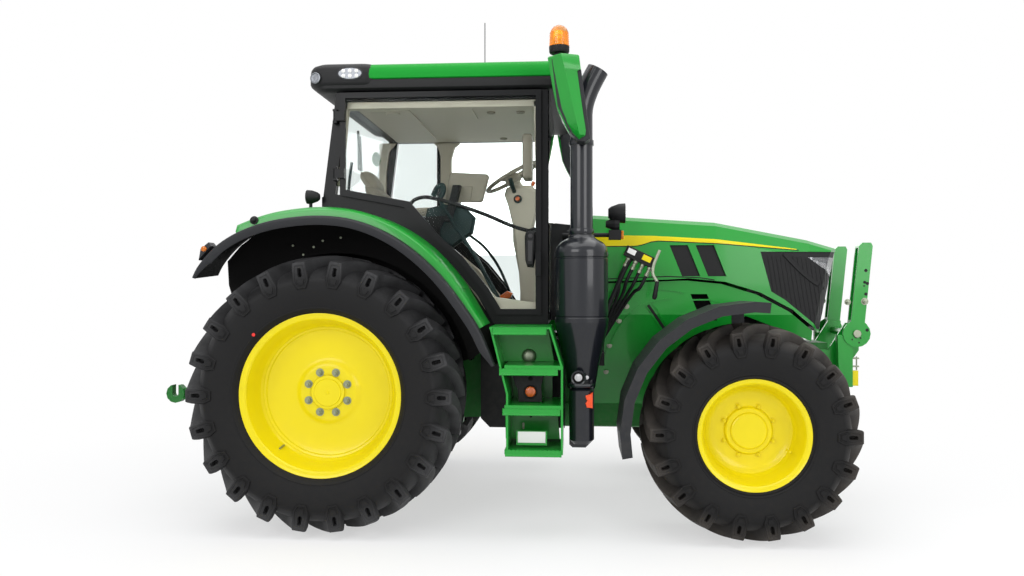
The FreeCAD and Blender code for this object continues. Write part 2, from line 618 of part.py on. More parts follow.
def front_axle():
    """Beam with its differential, forked ends, steering ram and drive shaft."""
    beam = block("Beam", ("wheelbase - beam_half_x", "wheelbase + beam_half_x"),
                 ("-beam_end", "beam_end"), (f"{AXLE_Z} - beam_half_z", f"{AXLE_Z} + beam_half_z"))
    case = drum("Differential", "x", POST_SIDES, [
        ("-diff_half", "diff_radius*0.8"), ("-diff_half/2", "diff_radius"), ("diff_half/2", "diff_radius"),
        ("diff_half", "diff_radius*0.7")], "wheelbase", z=AXLE_Z)
    pivot = block("Pivot", ("wheelbase - pivot_half_x", "wheelbase + pivot_half_x"),
                  ("-pivot_half_y", "pivot_half_y"), (f"{AXLE_Z} + beam_half_z", "arch_low"))
    ear_top, ear_low = f"{AXLE_Z} + yoke_gap", f"{AXLE_Z} - yoke_gap - yoke_wall"
    fork = slab("Fork", "front", [[
        ("-yoke_out", ear_low), ("yoke_wall - beam_end", ear_low),
        ("yoke_wall - beam_end", f"{ear_top} + yoke_wall"),
        ("-yoke_out", f"{ear_top} + yoke_wall"), ("-yoke_out", ear_top), ("-beam_end", ear_top),
        ("-beam_end", f"{ear_low} + yoke_wall"), ("-yoke_out", f"{ear_low} + yoke_wall")]],
        "wheelbase - yoke_half_x", "wheelbase + yoke_half_x")
    bore = rod("KingpinBore", "z", "kingpin_radius + running_gap", "2*(yoke_gap + yoke_wall)", "wheelbase",
               "-kingpin_y", ear_low)
    side = cut("AxleEnd", fork, bore)
    ram = drum("Ram", "y", POST_SIDES, [("-ram_half", "ram_radius"), ("ram_half", "ram_radius")],
               "wheelbase - arm_back", z="rod_z")
    neck = block("RamMount", ("wheelbase - arm_back", "wheelbase - beam_half_x"),
                 ("-ram_radius*1.5", "ram_radius*1.5"), ("rod_z - ram_radius*0.7", "rod_z + ram_radius*0.7"))
    passage = rod("RamBore", "y", "rod_radius + running_gap", "2*ram_half",
                  "wheelbase - arm_back", "-ram_half", "rod_z")
    shaft = drum("DriveShaft", "x", BAR_SIDES, [
        ("bell_front - shaft_in", "shaft_radius"), ("wheelbase - diff_half/2", "shaft_radius")], z="shaft_z")
    solid = fuse("AxleBeam", beam, case, pivot, side, mirrored(side), ram, neck, shaft)
    node("front_axle", cut("FrontAxle", solid, passage))


def knuckle():
    """Swivel housing with kingpins, wheel hub, stub and steering arm."""
    core = drum("Swivel", "z", POST_SIDES, [
        ("knuckle_gap - yoke_gap", "knuckle_radius"), ("yoke_gap - knuckle_gap", "knuckle_radius")],
        "wheelbase", "-kingpin_y", AXLE_Z)
    pins = rod("Kingpin", "z", "kingpin_radius", f"stay_z - ({AXLE_Z} - yoke_gap - yoke_wall)", "wheelbase",
               "-kingpin_y", f"{AXLE_Z} - yoke_gap - yoke_wall")
    face = "front_tyre_y + front_disc_y - front_disc_wall - seat_gap"
    hub = drum("Hub", "y", POST_SIDES, [(f"-({face})", "hub_radius"), ("-kingpin_y", "hub_radius*0.8")],
               "wheelbase", z=AXLE_Z)
    stub_end = "front_tyre_y + front_disc_y + front_hub_face - front_disc_wall - move_gap"
    stub = rod("HubStub", "y", "front_stub_radius", f"{stub_end} - ({face})", "wheelbase",
               f"-({stub_end})", AXLE_Z)
    eye_x, eye_y = "wheelbase - arm_back", "-(kingpin_y - arm_in)"
    arm = slab("Arm", "top", [[
        ("wheelbase", "-kingpin_y - arm_half"), ("wheelbase", "-kingpin_y + arm_half"),
        (f"{eye_x} - arm_half/3", f"{eye_y} + arm_half"), (f"{eye_x} - arm_half/3", f"{eye_y} - arm_half")]],
        "arm_top - arm_wall", "arm_top")
    node("knuckle_right", fuse("Knuckle", core, pins, hub, stub, arm))
    mirrored_node("knuckle_left", nodes["knuckle_right"])


def steering_rod():
    """Through rod of the steering ram with an eye over each knuckle's arm."""
    reach = "kingpin_y - arm_in"
    through = rod("ThroughRod", "y", "rod_radius", f"2*({reach})", "wheelbase - arm_back",
                  f"-({reach})", "rod_z")
    eye = drum("RodEye", "z", BAR_SIDES, [("-rod_eye_wall/2", "rod_eye"), ("rod_eye_wall/2", "rod_eye")],
               "wheelbase - arm_back", f"-({reach})", "rod_z")
    node("steering_rod", fuse("SteeringRod", through, eye, mirrored(eye)))


def front_fender():
    """Arched wing with its turned-down lip over the front tyre, on a stay from the knuckle."""
    def spot(angle, radius):
        return (f"wheelbase + ({radius})*cos({angle})", f"{AXLE_Z} + ({radius})*sin({angle})")

    def arch(name, wall, low, high):
        inner = f"wing_radius - {wall}"
        return slab(name, "side", [[
            (*spot("wing_front", "wing_radius"), "wing_radius", ("wheelbase", AXLE_Z)),
            spot("wing_rear", "wing_radius"),
            (*spot("wing_rear", inner), f"-({inner})", ("wheelbase", AXLE_Z)),
            spot("wing_front", inner)]], low, high)

    skin = arch("Wing", "wing_wall", "-wing_out", "-wing_in")
    lips = arch("WingLip", "wing_lip", "-wing_out", "wing_wall - wing_out")
    across = ("wheelbase - stay_half", "wheelbase + stay_half")
    crest = f"{AXLE_Z} + wing_radius - wing_wall*0.8"
    stay = slab("Stay", "front", [[
        ("-kingpin_y - kingpin_radius", "stay_z"), ("-stay_y", "stay_z"), ("-stay_y", crest),
        ("-wing_out + wing_wall/2", crest), ("-wing_out + wing_wall/2", f"{crest} - stay_wall"),
        ("-stay_y - stay_wall", f"{crest} - stay_wall"), ("-stay_y - stay_wall", "stay_z + stay_wall"),
        ("-kingpin_y - kingpin_radius", "stay_z + stay_wall")]], *across)
    node("front_fender_right", fuse("FrontFender", skin, lips, stay))
    mirrored_node("front_fender_left", nodes["front_fender_right"])


front_axle()
knuckle()
steering_rod()
front_fender()


# Rear fenders: a crowned green skin from the cab wall outwards and a dark flare on its lip.

def fender_outline(radius, tail):
    """The side view of the skin at one distance from the cab, as a band of even wall."""
    inner = f"({radius}) - fender_wall"
    low = "flare_front_z"
    hub = ("fender_x", "fender_z")
    top = arc_z("flare_top_x", radius)
    under = arc_z("flare_top_x", inner)
    return [
        (arc_x(low, radius), low, radius, hub), ("flare_top_x", top),
        *[(x, f"{top} - ({drop})") for x, drop in tail],
        *[(x, f"{under} - ({drop})") for x, drop in reversed(tail)],
        ("flare_top_x", under, f"-({inner})", hub), (arc_x(low, inner), low)]


def rear_fenders():
    """Both skins: a crowned top that ends in an upright tail, falling outwards to the flare."""
    turns = ("flare_step", "2*flare_step", "fender_tail_turn")
    falls = ("fender_fall*0.15", "fender_fall*0.4", "fender_fall")
    xs = [f"flare_top_x - flare_tail_radius*sin({turn})" for turn in turns]
    lip = [(x, f"flare_tail_radius*(1 - cos({turn}))") for x, turn in zip(xs, turns)]
    crown = list(zip(xs, falls))
    skin = loft("FenderSkin", "side", [
        ("-fender_in", fender_outline("fender_radius", crown)),
        ("-cab_half", fender_outline("fender_radius", crown)),
        ("-fender_out", fender_outline("fender_out_radius", lip))])
    node("rear_fenders", both(flat_faced("FenderFlats", skin)))


def fender_flares():
    """The dark shell under each skin, with its lip over the tyre's edge and its inner wall."""
    low, hub = "flare_front_z", ("fender_x", "fender_z")
    middle = ("flare_top_x", arc_z("flare_top_x", "fender_out_radius") + " - flare_tail_radius")

    def end(depth):
        reach = f"(flare_tail_radius - ({depth}))"
        return (f"{middle[0]} - {reach}*sin(flare_tail_turn)", f"{middle[1]} + {reach}*cos(flare_tail_turn)")

    def edge(depth, z):
        """Outline from the front foot over the top to the tail, at a depth below the skin's face."""
        radius = f"fender_out_radius - ({depth})"
        return [(arc_x(z, radius), z, radius, hub),
                ("flare_top_x", arc_z("flare_top_x", radius), f"flare_tail_radius - ({depth})", middle),
                end(depth)]

    def band(name, outer, inner, from_y, to_y):
        under = edge(inner, low)
        back = [(*under[2], f"-({under[1][2]})", middle), (*under[1][:2], f"-({under[0][2]})", hub),
                under[0][:2]]
        return slab(name, "side", [edge(outer, low) + back], from_y, to_y)

    shell_top = "fender_wall + seat_gap"
    lip = band("FlareLip", "flare_step_in", "flare_step_in + flare_wall", "-flare_out", "-fender_out")
    skirt = band("FlareSkirt", "flare_step_in", "flare_skirt", "-flare_out", "shell_wall - flare_out")
    shell = band("FlareShell", shell_top, f"{shell_top} + shell_wall", "-fender_out",
                 "-fender_in - shell_wall")
    wall = slab("FlareWall", "side", [edge(shell_top, "wall_low_z") + [
        ("wall_rear_x", "wall_knee_z"), ("wall_low_x", "wall_low_z")]],
        "-fender_in - shell_wall - inner_gap", "-fender_in - inner_gap")
    node("fender_flares", both(fuse("FlareSide", lip, skirt, shell, wall)))


rear_fenders()
fender_flares()


# Cab: frame, floor with its wheel arches, roof, glass and what is inside.

SIDE = ("-cab_half", "pillar_wall - cab_half")


def cab_frame():
    """Pillars, roof rails, sills and the band below the doors, as one welded frame."""
    low, high = SIDE
    front = block("PillarA", ("a_rear", "a_front"), (low, high), ("sill_z - sill_wall", "a_top"))
    rear = slab("PillarC", "side", [[
        ("c_low_rear", "waist_z"), ("c_low_front", "waist_z"), ("c_top_front", "a_top"),
        ("c_top_rear", "a_top")]], low, high)
    rail = block("RoofRail", ("c_top_rear", "a_front"), (low, high), ("a_top - rail_wall", "a_top"))
    floor_z = "sill_z - sill_wall"
    reach = "fender_radius + liner_gap + liner_wall"
    edge = "fender_radius + door_reach + lip"
    band = slab("Band", "side", [[
        (arc_x(floor_z, reach), floor_z), ("a_rear", floor_z), ("a_rear", "sill_z + lip"),
        (arc_x("sill_z + lip", edge), "sill_z + lip", edge),
        ("door_arc_x + lip", arc_z("door_arc_x + lip", edge)),
        ("band_knee_x + lip", "band_knee_z + lip"), ("c_low_front", "band_rear_z + lip"),
        ("c_low_rear", "band_rear_z"), ("c_low_rear", arc_z("c_low_rear", reach), f"-({reach})")]], low, high)
    side = fuse("CabSide", front, rear, rail, band)
    inside = "cab_half - pillar_wall"
    across = (f"-({inside})", inside)
    beams = [
        block("FrontBeam", ("a_rear", "a_front"), across, ("a_top - rail_wall", "a_top")),
        block("RearBeam", ("c_top_rear", "c_top_front - 10"), across, ("a_top - rail_wall", "a_top")),
        block("WaistBeam", ("c_low_rear + 10", "c_low_front"), across, ("waist_z", "waist_z + 50")),
        block("SillBeam", ("a_rear", "a_front"), across, (floor_z, "sill_z"))]
    post = block("PillarB", ("b_rear", "b_front"), ("cab_half - pillar_wall", "cab_half"),
                 ("band_knee_z - 60", "a_top"))
    pins = [hinge_ears("hinge_x", "-1"), hinge_ears("left_hinge_x", "1")]
    node("cab_frame", fuse("CabFrame", side, mirrored(side), post, *beams, *pins))


def hinge_ears(x, side):
    """Two hinges of one door: each a pair of ears on the pillar with the pin between them."""
    out = "cab_half + hinge_out"
    pieces = []
    for base in ("hinge_low_z", "hinge_high_z"):
        for low in (f"{base} - hinge_ear - 1", f"{base} + hinge_tall + 1"):
            lo, hi = ((f"-({out}) - hinge_barrel", "-cab_half") if side == "-1"
                      else ("cab_half", f"{out} + hinge_barrel"))
            pieces.append(block("Ear", (f"{x} - hinge_barrel", f"{x} + hinge_barrel"),
                                (lo, hi), (low, f"({low}) + hinge_ear")))
        pieces.append(rod("HingePin", "z", "hinge_pin", "hinge_tall + 2", x,
                          f"({side})*({out})", f"{base} - 1"))
    return fuse("HingeEars", *pieces)


def door(name, side, rear, hinge, hinged_behind):
    """A full-height glazed door in its thin frame, with hinge leaves and a handle."""
    inner, outer = "cab_half + door_gap", "cab_half + door_gap + door_wall"
    span = (f"-({outer})", f"-({inner})") if side == "-1" else (inner, outer)
    reach = "fender_radius + door_reach"

    def outline(inset):
        rim = f"({inset})"
        arc = f"({reach}) + {rim}"
        corners = [
            (f"{rear} + {rim}", f"door_rear_z + {rim}"), (f"door_knee_x + {rim}", f"door_knee_z + {rim}"),
            (f"door_arc_x + {rim}", arc_z(f"door_arc_x + {rim}", arc), f"-({arc})"),
            (arc_x(f"sill_z + {rim}", arc), f"sill_z + {rim}"),
            (f"door_front - {rim}", f"sill_z + {rim}"), (f"door_front - {rim}", f"door_top - {rim}"),
            (f"{rear} + {rim}", f"door_top - {rim}")]
        if hinged_behind:
            return corners
        corners[0] = (f"{rear} + {rim}", f"door_knee_z + {rim} - ({rear} - door_knee_x)")
        return corners[:1] + corners[2:]

    panel = slab("DoorPanel", "side", [outline("0"), outline("door_rim")], *span)
    pieces = [panel]
    front_strip, rear_strip = ("door_front - door_rim", "door_front"), (rear, f"{rear} + door_rim")
    near, link, far, grip_z = rear_strip, (hinge, rear), front_strip, "handle_z"
    if not hinged_behind:
        near, link, far, grip_z = front_strip, ("door_front", hinge), rear_strip, "handle_high_z"
    out = "cab_half + hinge_out"
    for base in ("hinge_low_z", "hinge_high_z"):
        barrel = drum("Barrel", "z", BAR_SIDES, [("0", "hinge_barrel"), ("hinge_tall", "hinge_barrel")],
                      hinge, f"({side})*({out})", base)
        leaf_span = ((f"-({out}) - hinge_barrel", f"-({inner})") if side == "-1"
                     else (inner, f"{out} + hinge_barrel"))
        leaf = block("Leaf", near, leaf_span, (base, f"{base} + hinge_tall"))
        web = block("Web", link, ((f"-({out}) - hinge_barrel", f"-({out}) + 1 - hinge_pin")
                    if side == "-1" else (f"{out} + hinge_pin - 1", f"{out} + hinge_barrel")),
                    (base, f"{base} + hinge_tall"))
        bore = rod("PinBore", "z", "hinge_pin + running_gap", "hinge_tall", hinge, f"({side})*({out})", base)
        pieces.append(cut("HingeLeaf", fuse("LeafSolid", barrel, leaf, web), bore))
    handle_y = ((f"-({outer}) - handle_deep", f"-({outer})") if side == "-1"
                else (outer, f"{outer} + handle_deep"))
    grip = block("Handle", far, handle_y, (grip_z, f"{grip_z} + handle_tall"))
    node(f"door_{name}_frame", fuse("DoorFrame", *pieces, grip))
    mid = f"({side})*(cab_half + door_gap + door_wall/2)"
    pane = slab("DoorPane", "side", [outline("door_rim + seat_gap")],
                f"{mid} - glass_wall/2", f"{mid} + glass_wall/2")
    node(f"door_{name}_glass", pane)


def cab_floor():
    """Floor, inner walls between the fenders, wheel-arch liners and the rear wall."""
    floor_z = "sill_z - sill_wall"
    floor = block("Floor", ("c_low_rear", "a_rear"), ("-well_half", "well_half"),
                  (floor_z, f"{floor_z} + floor_wall"))
    inside = "cab_half - pillar_wall"
    wing = block("FloorSide", (arc_x(floor_z, "fender_radius + liner_gap + liner_wall"), "a_rear"),
                 (f"-({inside})", "-well_half"), (floor_z, f"{floor_z} + floor_wall"))
    low, high = "fender_radius + liner_gap", "fender_radius + liner_gap + liner_wall"
    wall = slab("WellWall", "side", [[
        ("c_low_rear", floor_z), (arc_x(floor_z, high), floor_z, high),
        ("c_low_rear", arc_z("c_low_rear", high))]], "-well_half", "well_wall - well_half")
    liner = slab("Liner", "side", [[
        (arc_x(floor_z, low), floor_z), (arc_x(floor_z, high), floor_z, high),
        ("c_low_rear", arc_z("c_low_rear", high)), ("c_low_rear", arc_z("c_low_rear", low), f"-({low})")]],
        f"-({inside})", "well_wall - well_half")
    back = block("BackWall", ("c_low_rear", "c_low_rear + well_wall"), ("-well_half", "well_half"),
                 (floor_z, "waist_z - 12"))
    node("cab_floor", fuse("CabFloor", floor, wing, mirrored(wing), wall, mirrored(wall), liner,
                           mirrored(liner), back))


def roof():
    """Crowned roof skin, the dark eave under it with its whip aerial, and the lining inside."""
    eave = slab("Eave", "top", [rounded("roof_rear", "roof_front", "roof_half", "roof_corner")],
                "a_top", "a_top + eave_wall")
    base = "a_top + eave_wall"
    crown = f"{base} + roof_edge + roof_crown"
    skin = flat_faced("RoofFlats", loft("RoofSkin", "top", [
        (base, rounded("roof_rear - roof_lip", "roof_front + roof_lip", "roof_half + roof_lip",
                       "roof_corner")),
        (f"{base} + roof_edge", rounded("roof_rear + roof_draw", "roof_front - roof_draw",
                                        "roof_half - roof_draw", "roof_corner")),
        (crown, rounded("roof_rear + roof_inset", "roof_front - roof_inset", "roof_half - roof_inset",
                        "roof_corner"))]))
    whip = drum("Aerial", "z", BAR_SIDES, [
        ("seat_gap", "aerial_foot"), ("aerial_foot*3", "aerial_foot*0.7"),
        ("aerial_foot*3.4", "aerial_radius"), ("aerial_tall", "aerial_radius*0.7")],
        "aerial_x", "-aerial_y", crown)
    node("roof_trim", group("RoofTrim", eave, whip))
    node("cab_roof", skin)
    lining = block("Lining", ("c_top_front", "a_rear"), ("-headliner_half", "headliner_half"),
                   ("a_top - headliner_wall", "a_top"))
    node("headliner", group("Headliner", lining))


def rounded(low, high, half, radius):
    """A rectangle in the top view with rounded corners."""
    return [
        (f"({low}) + {radius}", f"-({half})"), (f"({high}) - {radius}", f"-({half})", radius),
        (high, f"{radius} - ({half})"), (high, f"({half}) - {radius}", radius),
        (f"({high}) - {radius}", half), (f"({low}) + {radius}", half, radius),
        (low, f"({half}) - {radius}"), (low, f"{radius} - ({half})", radius)]


def cab_glass():
    """Windscreen, slanting rear window and the left quarter pane."""
    screen = block("Windscreen", ("a_front", "a_front + glass_wall"), ("-cab_half", "cab_half"),
                   ("sill_z", "windscreen_top"))
    rear = slab("RearWindow", "side", [[
        ("c_low_rear", "waist_z + 50"), ("c_low_rear + glass_wall", "waist_z + 50"),
        ("c_top_rear + glass_wall", "a_top - rail_wall"), ("c_top_rear", "a_top - rail_wall")]],
        "pillar_wall - cab_half", "cab_half - pillar_wall")
    quarter = slab("QuarterPane", "side", [[
        ("c_low_front + 20", "band_rear_z + lip"), ("b_rear", "band_knee_z + lip + 10"),
        ("b_rear", "a_top - rail_wall"), ("c_top_front", "a_top - rail_wall")]],
        "cab_half - pillar_wall/2", "cab_half - pillar_wall/2 + glass_wall")
    node("cab_glass", group("CabGlass", screen, rear, quarter))


cab_frame()
door("right", "-1", "door_rear", "hinge_x", True)
door("left", "1", "left_door_rear", "left_hinge_x", False)
cab_floor()
roof()
cab_glass()


def seat():
    """Driver's seat on its plain base: a cushion and an upright back."""
    floor_z = "sill_z - sill_wall + floor_wall"
    half = "seat_wide/2"
    base = block("SeatBase", ("seat_x + 60", "seat_x + seat_deep - 60"), ("-base_half", "base_half"),
                 (floor_z, "seat_z - cushion_tall"))
    cushion = slab("Cushion", "top", [rounded("seat_x", "seat_x + seat_deep", half, "cushion_tall/2")],
                   "seat_z - cushion_tall", "seat_z")
    back = slab("Backrest", "side", [[
        ("seat_x", "seat_z"), ("seat_x + back_deep", "seat_z"),
        ("seat_x + back_deep - 90", "seat_z + back_tall"), ("seat_x - 90", "seat_z + back_tall")]],
        f"30 - {half}", f"{half} - 30")
    node("seat", fuse("Seat", base, cushion, back))


def console():
    """Right armrest console with its display."""
    floor_z = "sill_z - sill_wall + floor_wall"
    out, inner = "-(console_in + 130)", "-console_in"
    body = slab("ConsoleBody", "side", [[
        ("seat_x + 80", floor_z), ("seat_x + 460", floor_z), ("seat_x + 560", "seat_z + 110"),
        ("seat_x + 600", "seat_z + 190"), ("seat_x + 100", "seat_z + 170")]], out, inner)
    screen = slab("Display", "side", [[
        ("seat_x + 590", "seat_z + 150"), ("seat_x + 640", "seat_z + 150"),
        ("seat_x + 700", "seat_z + 400"), ("seat_x + 650", "seat_z + 400")]],
        "-(console_in + 150)", "-(console_in - 90)")
    node("console", fuse("Console", body, screen))


def steering_column():
    """Front dash post and the leaning column with the steering wheel."""
    floor_z = "sill_z - sill_wall + floor_wall"
    post = slab("DashPost", "side", [[
        ("column_x - 40", floor_z), ("a_rear", floor_z), ("a_rear", f"{floor_z} + column_tall + 120"),
        ("column_x - 90", f"{floor_z} + column_tall")]], "-dash_half/2", "dash_half/2")
    centre = FreeCAD.Vector(number("column_x - 220"), 0, number(f"{floor_z} + column_tall + 150"))
    lean = FreeCAD.Vector(-math.sin(math.radians(number("column_lean"))), 0,
                          math.cos(math.radians(number("column_lean"))))
    foot = FreeCAD.Vector(number("column_x - 60"), 0, number(f"{floor_z} + column_tall - 60"))
    grip = number("wheel_grip")
    hoop = [many_sided(WHEEL_SIDES, radius, centre - lean*grip, lean*2*grip)
            for radius in (number("wheel_radius") + grip, number("wheel_radius") - grip)]
    hub = many_sided(BAR_SIDES, number("column_radius*0.7"), foot, centre - foot)
    across = FreeCAD.Vector(0, number("wheel_radius"), 0)
    spoke = many_sided(BAR_SIDES, grip, centre - across, across*2)
    wheel_shape = doc.addObject("Part::Feature", "SteeringWheel")
    wheel_shape.Shape = hoop[0].cut(hoop[1]).fuse([hub, spoke])
    node("steering_column", fuse("SteeringColumn", post, wheel_shape))


seat()
console()
steering_column()


# Hood, its grille and headlights, and the shields below it.

NOSE_STEPS = 4  # flats on each half of the bowed nose


def hood_section(x, half, top, inset):
    """The hood's section at one station: upright sides, sloping shoulders, low crown."""
    low = "hood_nose_low - 60"
    side = f"({half}) - ({inset})"
    roof_z = f"({top}) - ({inset})"
    return (x, [
        (f"-({side})", low), (side, low), (side, f"({roof_z}) - hood_shoulder*1.6"),
        (f"({side}) - hood_shoulder*0.3", f"({roof_z}) - hood_shoulder*0.5"),
        (f"({side}) - hood_shoulder", f"({roof_z}) - hood_crown*0.5"), ("0", roof_z),
        (f"hood_shoulder - ({side})", f"({roof_z}) - hood_crown*0.5"),
        (f"hood_shoulder*0.3 - ({side})", f"({roof_z}) - hood_shoulder*0.5"),
        (f"-({side})", f"({roof_z}) - hood_shoulder*1.6")])


def nose_form(name, inset):
    """All that lies behind the nose's face, which bows forward in plan and leans back as it falls."""
    wide = "hood_half_rear + nose_room"

    def outline(centre):
        bow = []
        for step in range(2*NOSE_STEPS + 1):
            y = f"({wide})*({step - NOSE_STEPS})/{NOSE_STEPS}"
            bow.append((f"{centre} - ({inset}) - nose_bow + sqrt(nose_bow^2 - ({y})^2)", y))
        return [("hood_rear - nose_room", wide), ("hood_rear - nose_room", f"-({wide})")] + bow

    return flat_faced(name, loft(name + "Loft", "top", [
        ("hood_nose_low - nose_room", outline("nose_low_x")),
        ("hood_top_rear", outline("hood_nose + nose_lean"))]))


def hood_loft(name, inset):
    """The hood's whole form, drawn in by the inset from its outer face."""
    skin = flat_faced(name + "Skin", loft(name + "Loft", "front", [
        hood_section("hood_rear" if inset == "0" else "hood_rear - 1", "hood_half_rear", "hood_top_rear",
                     inset),
        hood_section("hood_mid", "hood_half_rear", "hood_top_mid", inset),
        hood_section("hood_nose - 260", "hood_half_nose + 40", "hood_top_nose + 75", inset),
        hood_section("hood_nose + nose_room", "hood_half_nose - 8", "hood_top_nose - 16", inset)]))
    return common(name, skin, nose_form(name + "Nose", inset))


def hood_arc():
    """What lies below the hood's lower edge: level at the rear, then falling in an arc."""
    wide, under = "hood_half_rear + nose_room", "hood_nose_low - 2*nose_room"
    return slab("HoodArc", "side", [[
        ("hood_rear - nose_room", under), ("hood_nose + nose_room", under),
        ("hood_nose + nose_room", "hood_nose_low"),
        ("hood_nose - hood_chin", "hood_nose_low", "hood_arc_radius"),
        ("hood_arc_x", "hood_low + hood_rise"), ("hood_rear - nose_room", "hood_low")]], f"-({wide})", wide)


def grille_form():
    """All ahead of the slanting line where the hood's side ends, down to its curved lower band."""
    wide, top = "hood_half_rear + nose_room", "hood_top_nose - grille_top_in"
    return slab("GrilleForm", "side", [[
        ("grille_rear", top), ("grille_rear + grille_slant", "grille_knee_z", "-hood_arc_radius"),
        ("nose_low_x - grille_foot", "grille_low_z"),
        ("hood_nose + nose_room", "grille_low_z"), ("hood_nose + nose_room", top)]], f"-({wide})", wide)


def vent_form(rim):
    """Both slanting openings in the hood's flanks, widened by a rim."""
    wide = "hood_half_rear + nose_room"
    forms = []
    for left in ("vent_x", "vent_x + vent_next"):
        forms.append(slab("Vent", "side", [[
            (f"{left} - ({rim})", f"vent_top + ({rim})"),
            (f"{left} + vent_slant - ({rim})", f"vent_low - ({rim})"),
            (f"{left} + vent_slant + vent_wide + ({rim})", f"vent_low - ({rim})"),
            (f"{left} + vent_wide + ({rim})", f"vent_top + ({rim})")]], f"-({wide})", wide))
    return forms


def hood():
    """Hood shell with its hinge barrels and vents, what fills its front, and the headlights."""
    outer = hood_loft("HoodOuter", "0")
    inner = hood_loft("HoodInner", "hood_wall")
    shell = cut("HoodShell", outer, inner, hood_arc(), grille_form(), *vent_form("0"))
    barrel = drum("HoodBarrel", "y", BAR_SIDES, [
        ("-hood_hinge_y - hood_hinge_half", "hood_barrel"),
        ("hood_hinge_half - hood_hinge_y", "hood_barrel")],
        "hood_hinge_x", z="hood_hinge_z")
    web = block("HoodWeb", ("hood_hinge_x - hood_wall/2", "hood_hinge_x + hood_wall/2"),
                ("-hood_hinge_y - hood_hinge_half", "-hood_hinge_y + hood_hinge_half"),
                ("hood_hinge_z", "hood_top_rear - hood_wall"))
    bores = [rod("HoodBore", "y", "hood_hinge_radius + running_gap", "2*hood_hinge_half", "hood_hinge_x",
                 f"{low} - hood_hinge_half", "hood_hinge_z") for low in ("-hood_hinge_y", "hood_hinge_y")]
    solid = fuse("HoodSolid", shell, barrel, web, mirrored(barrel), mirrored(web))
    node("hood", cut("Hood", solid, *bores))
    skin = cut("GrilleSkin", hood_loft("GrilleOuter", "grille_inset"),
               hood_loft("GrilleInner", "grille_inset + grille_wall"), hood_arc())
    face = cut("GrilleFront", common("GrilleFace", skin, grille_form()), lamp_box("LampHole", "0"))
    mesh_skin = cut("MeshSkin", hood_loft("MeshOuter", "hood_wall + seat_gap"),
                    hood_loft("MeshInner", "hood_wall + grille_wall"))
    meshes = [common("VentMesh", mesh_skin, form) for form in vent_form("vent_rim")]
    node("hood_grille", group("HoodGrille", face, *meshes))
    lens = common("LampForm", hood_loft("LampOuter", "grille_inset/2"), lamp_box("LampBox", "1"))
    node("headlights", lens)


def cowl():
    """Box before the windscreen, the ears and pins of the hood's hinge, and an arm with a lamp each side."""
    case = slab("CowlCase", "side", [[
        ("a_front + glass_wall", "cowl_low"), ("cowl_front", "cowl_low"),
        ("cowl_front", "cowl_top"), ("a_front + glass_wall", "cowl_top + cowl_rise")]], "-cowl_half",
        "cowl_half")
    foot = block("CowlFoot", ("bell_front + cowl_gap", "cowl_front - cowl_gap"), ("-bell_half", "bell_half"),
                 ("bell_top", "cowl_low"))
    ears = []
    for name, low in (("OuterEar", "-hood_hinge_y - hood_hinge_half - pivot_gap - hinge_plate"),
                      ("InnerEar", "-hood_hinge_y + hood_hinge_half + pivot_gap")):
        ears.append(slab(name, "side", [[
            ("cowl_front", "cowl_top - hood_ear*4"), ("hood_hinge_x + hood_ear", "hood_hinge_z - hood_ear"),
            ("hood_hinge_x + hood_ear", "hood_hinge_z + hood_ear"),
            ("hood_hinge_x - hood_ear", "hood_hinge_z + hood_ear"), ("cowl_front", "cowl_top")]],
            low, f"{low} + hinge_plate"))
    pin_rod = rod("HoodPin", "y", "hood_hinge_radius", "2*hood_hinge_half + 2*pivot_gap + hinge_plate",
                  "hood_hinge_x",
                  "-hood_hinge_y - hood_hinge_half - pivot_gap - hinge_plate/2", "hood_hinge_z")
    across = drum("MarkerArm", "y", BAR_SIDES, [("-marker_y", "marker_arm"), ("-cowl_half", "marker_arm")],
                  "marker_arm_x", z="marker_z")
    along = drum("MarkerReach", "x", BAR_SIDES, [("marker_arm_x - marker_arm", "marker_arm"),
                 ("marker_x - marker_box", "marker_arm")], y="-marker_y", z="marker_z")
    box = block("MarkerBox", ("marker_x - marker_box", "marker_x - seat_gap"),
                ("-marker_y - marker_half", "marker_half - marker_y"),
                ("marker_z - marker_half", "marker_z + marker_half"))
    work = drum("MarkerLamp", "x", POST_SIDES, [
        ("-lamp_deep", "lamp_radius*0.7"), ("0", "lamp_radius*1.5"), ("lamp_deep/2", "lamp_radius*1.5")],
        "marker_x - marker_box/2", "-marker_y", "marker_z + marker_half + lamp_radius*1.3")
    side = fuse("CowlEars", *ears, pin_rod)
    arm = fuse("MarkerSide", across, along, box, work)
    node("cowl", fuse("Cowl", case, foot, side, mirrored(side), arm, mirrored(arm)))


def lamp_box(name, inset):
    """The corner blocks that a headlight fills, one each side."""
    right = slab(name, "side", [[
        (f"headlight_back + {inset}*3", f"hood_top_nose - 61 - {inset}"),
        (f"hood_nose - 90 + {inset}", f"headlight_low + {inset}"),
        ("hood_nose + 60", f"headlight_low + {inset}"), ("hood_nose + 60", f"hood_top_nose - 61 - {inset}")]],
        "-hood_half_rear", "-hood_half_nose/2")
    return both(right)


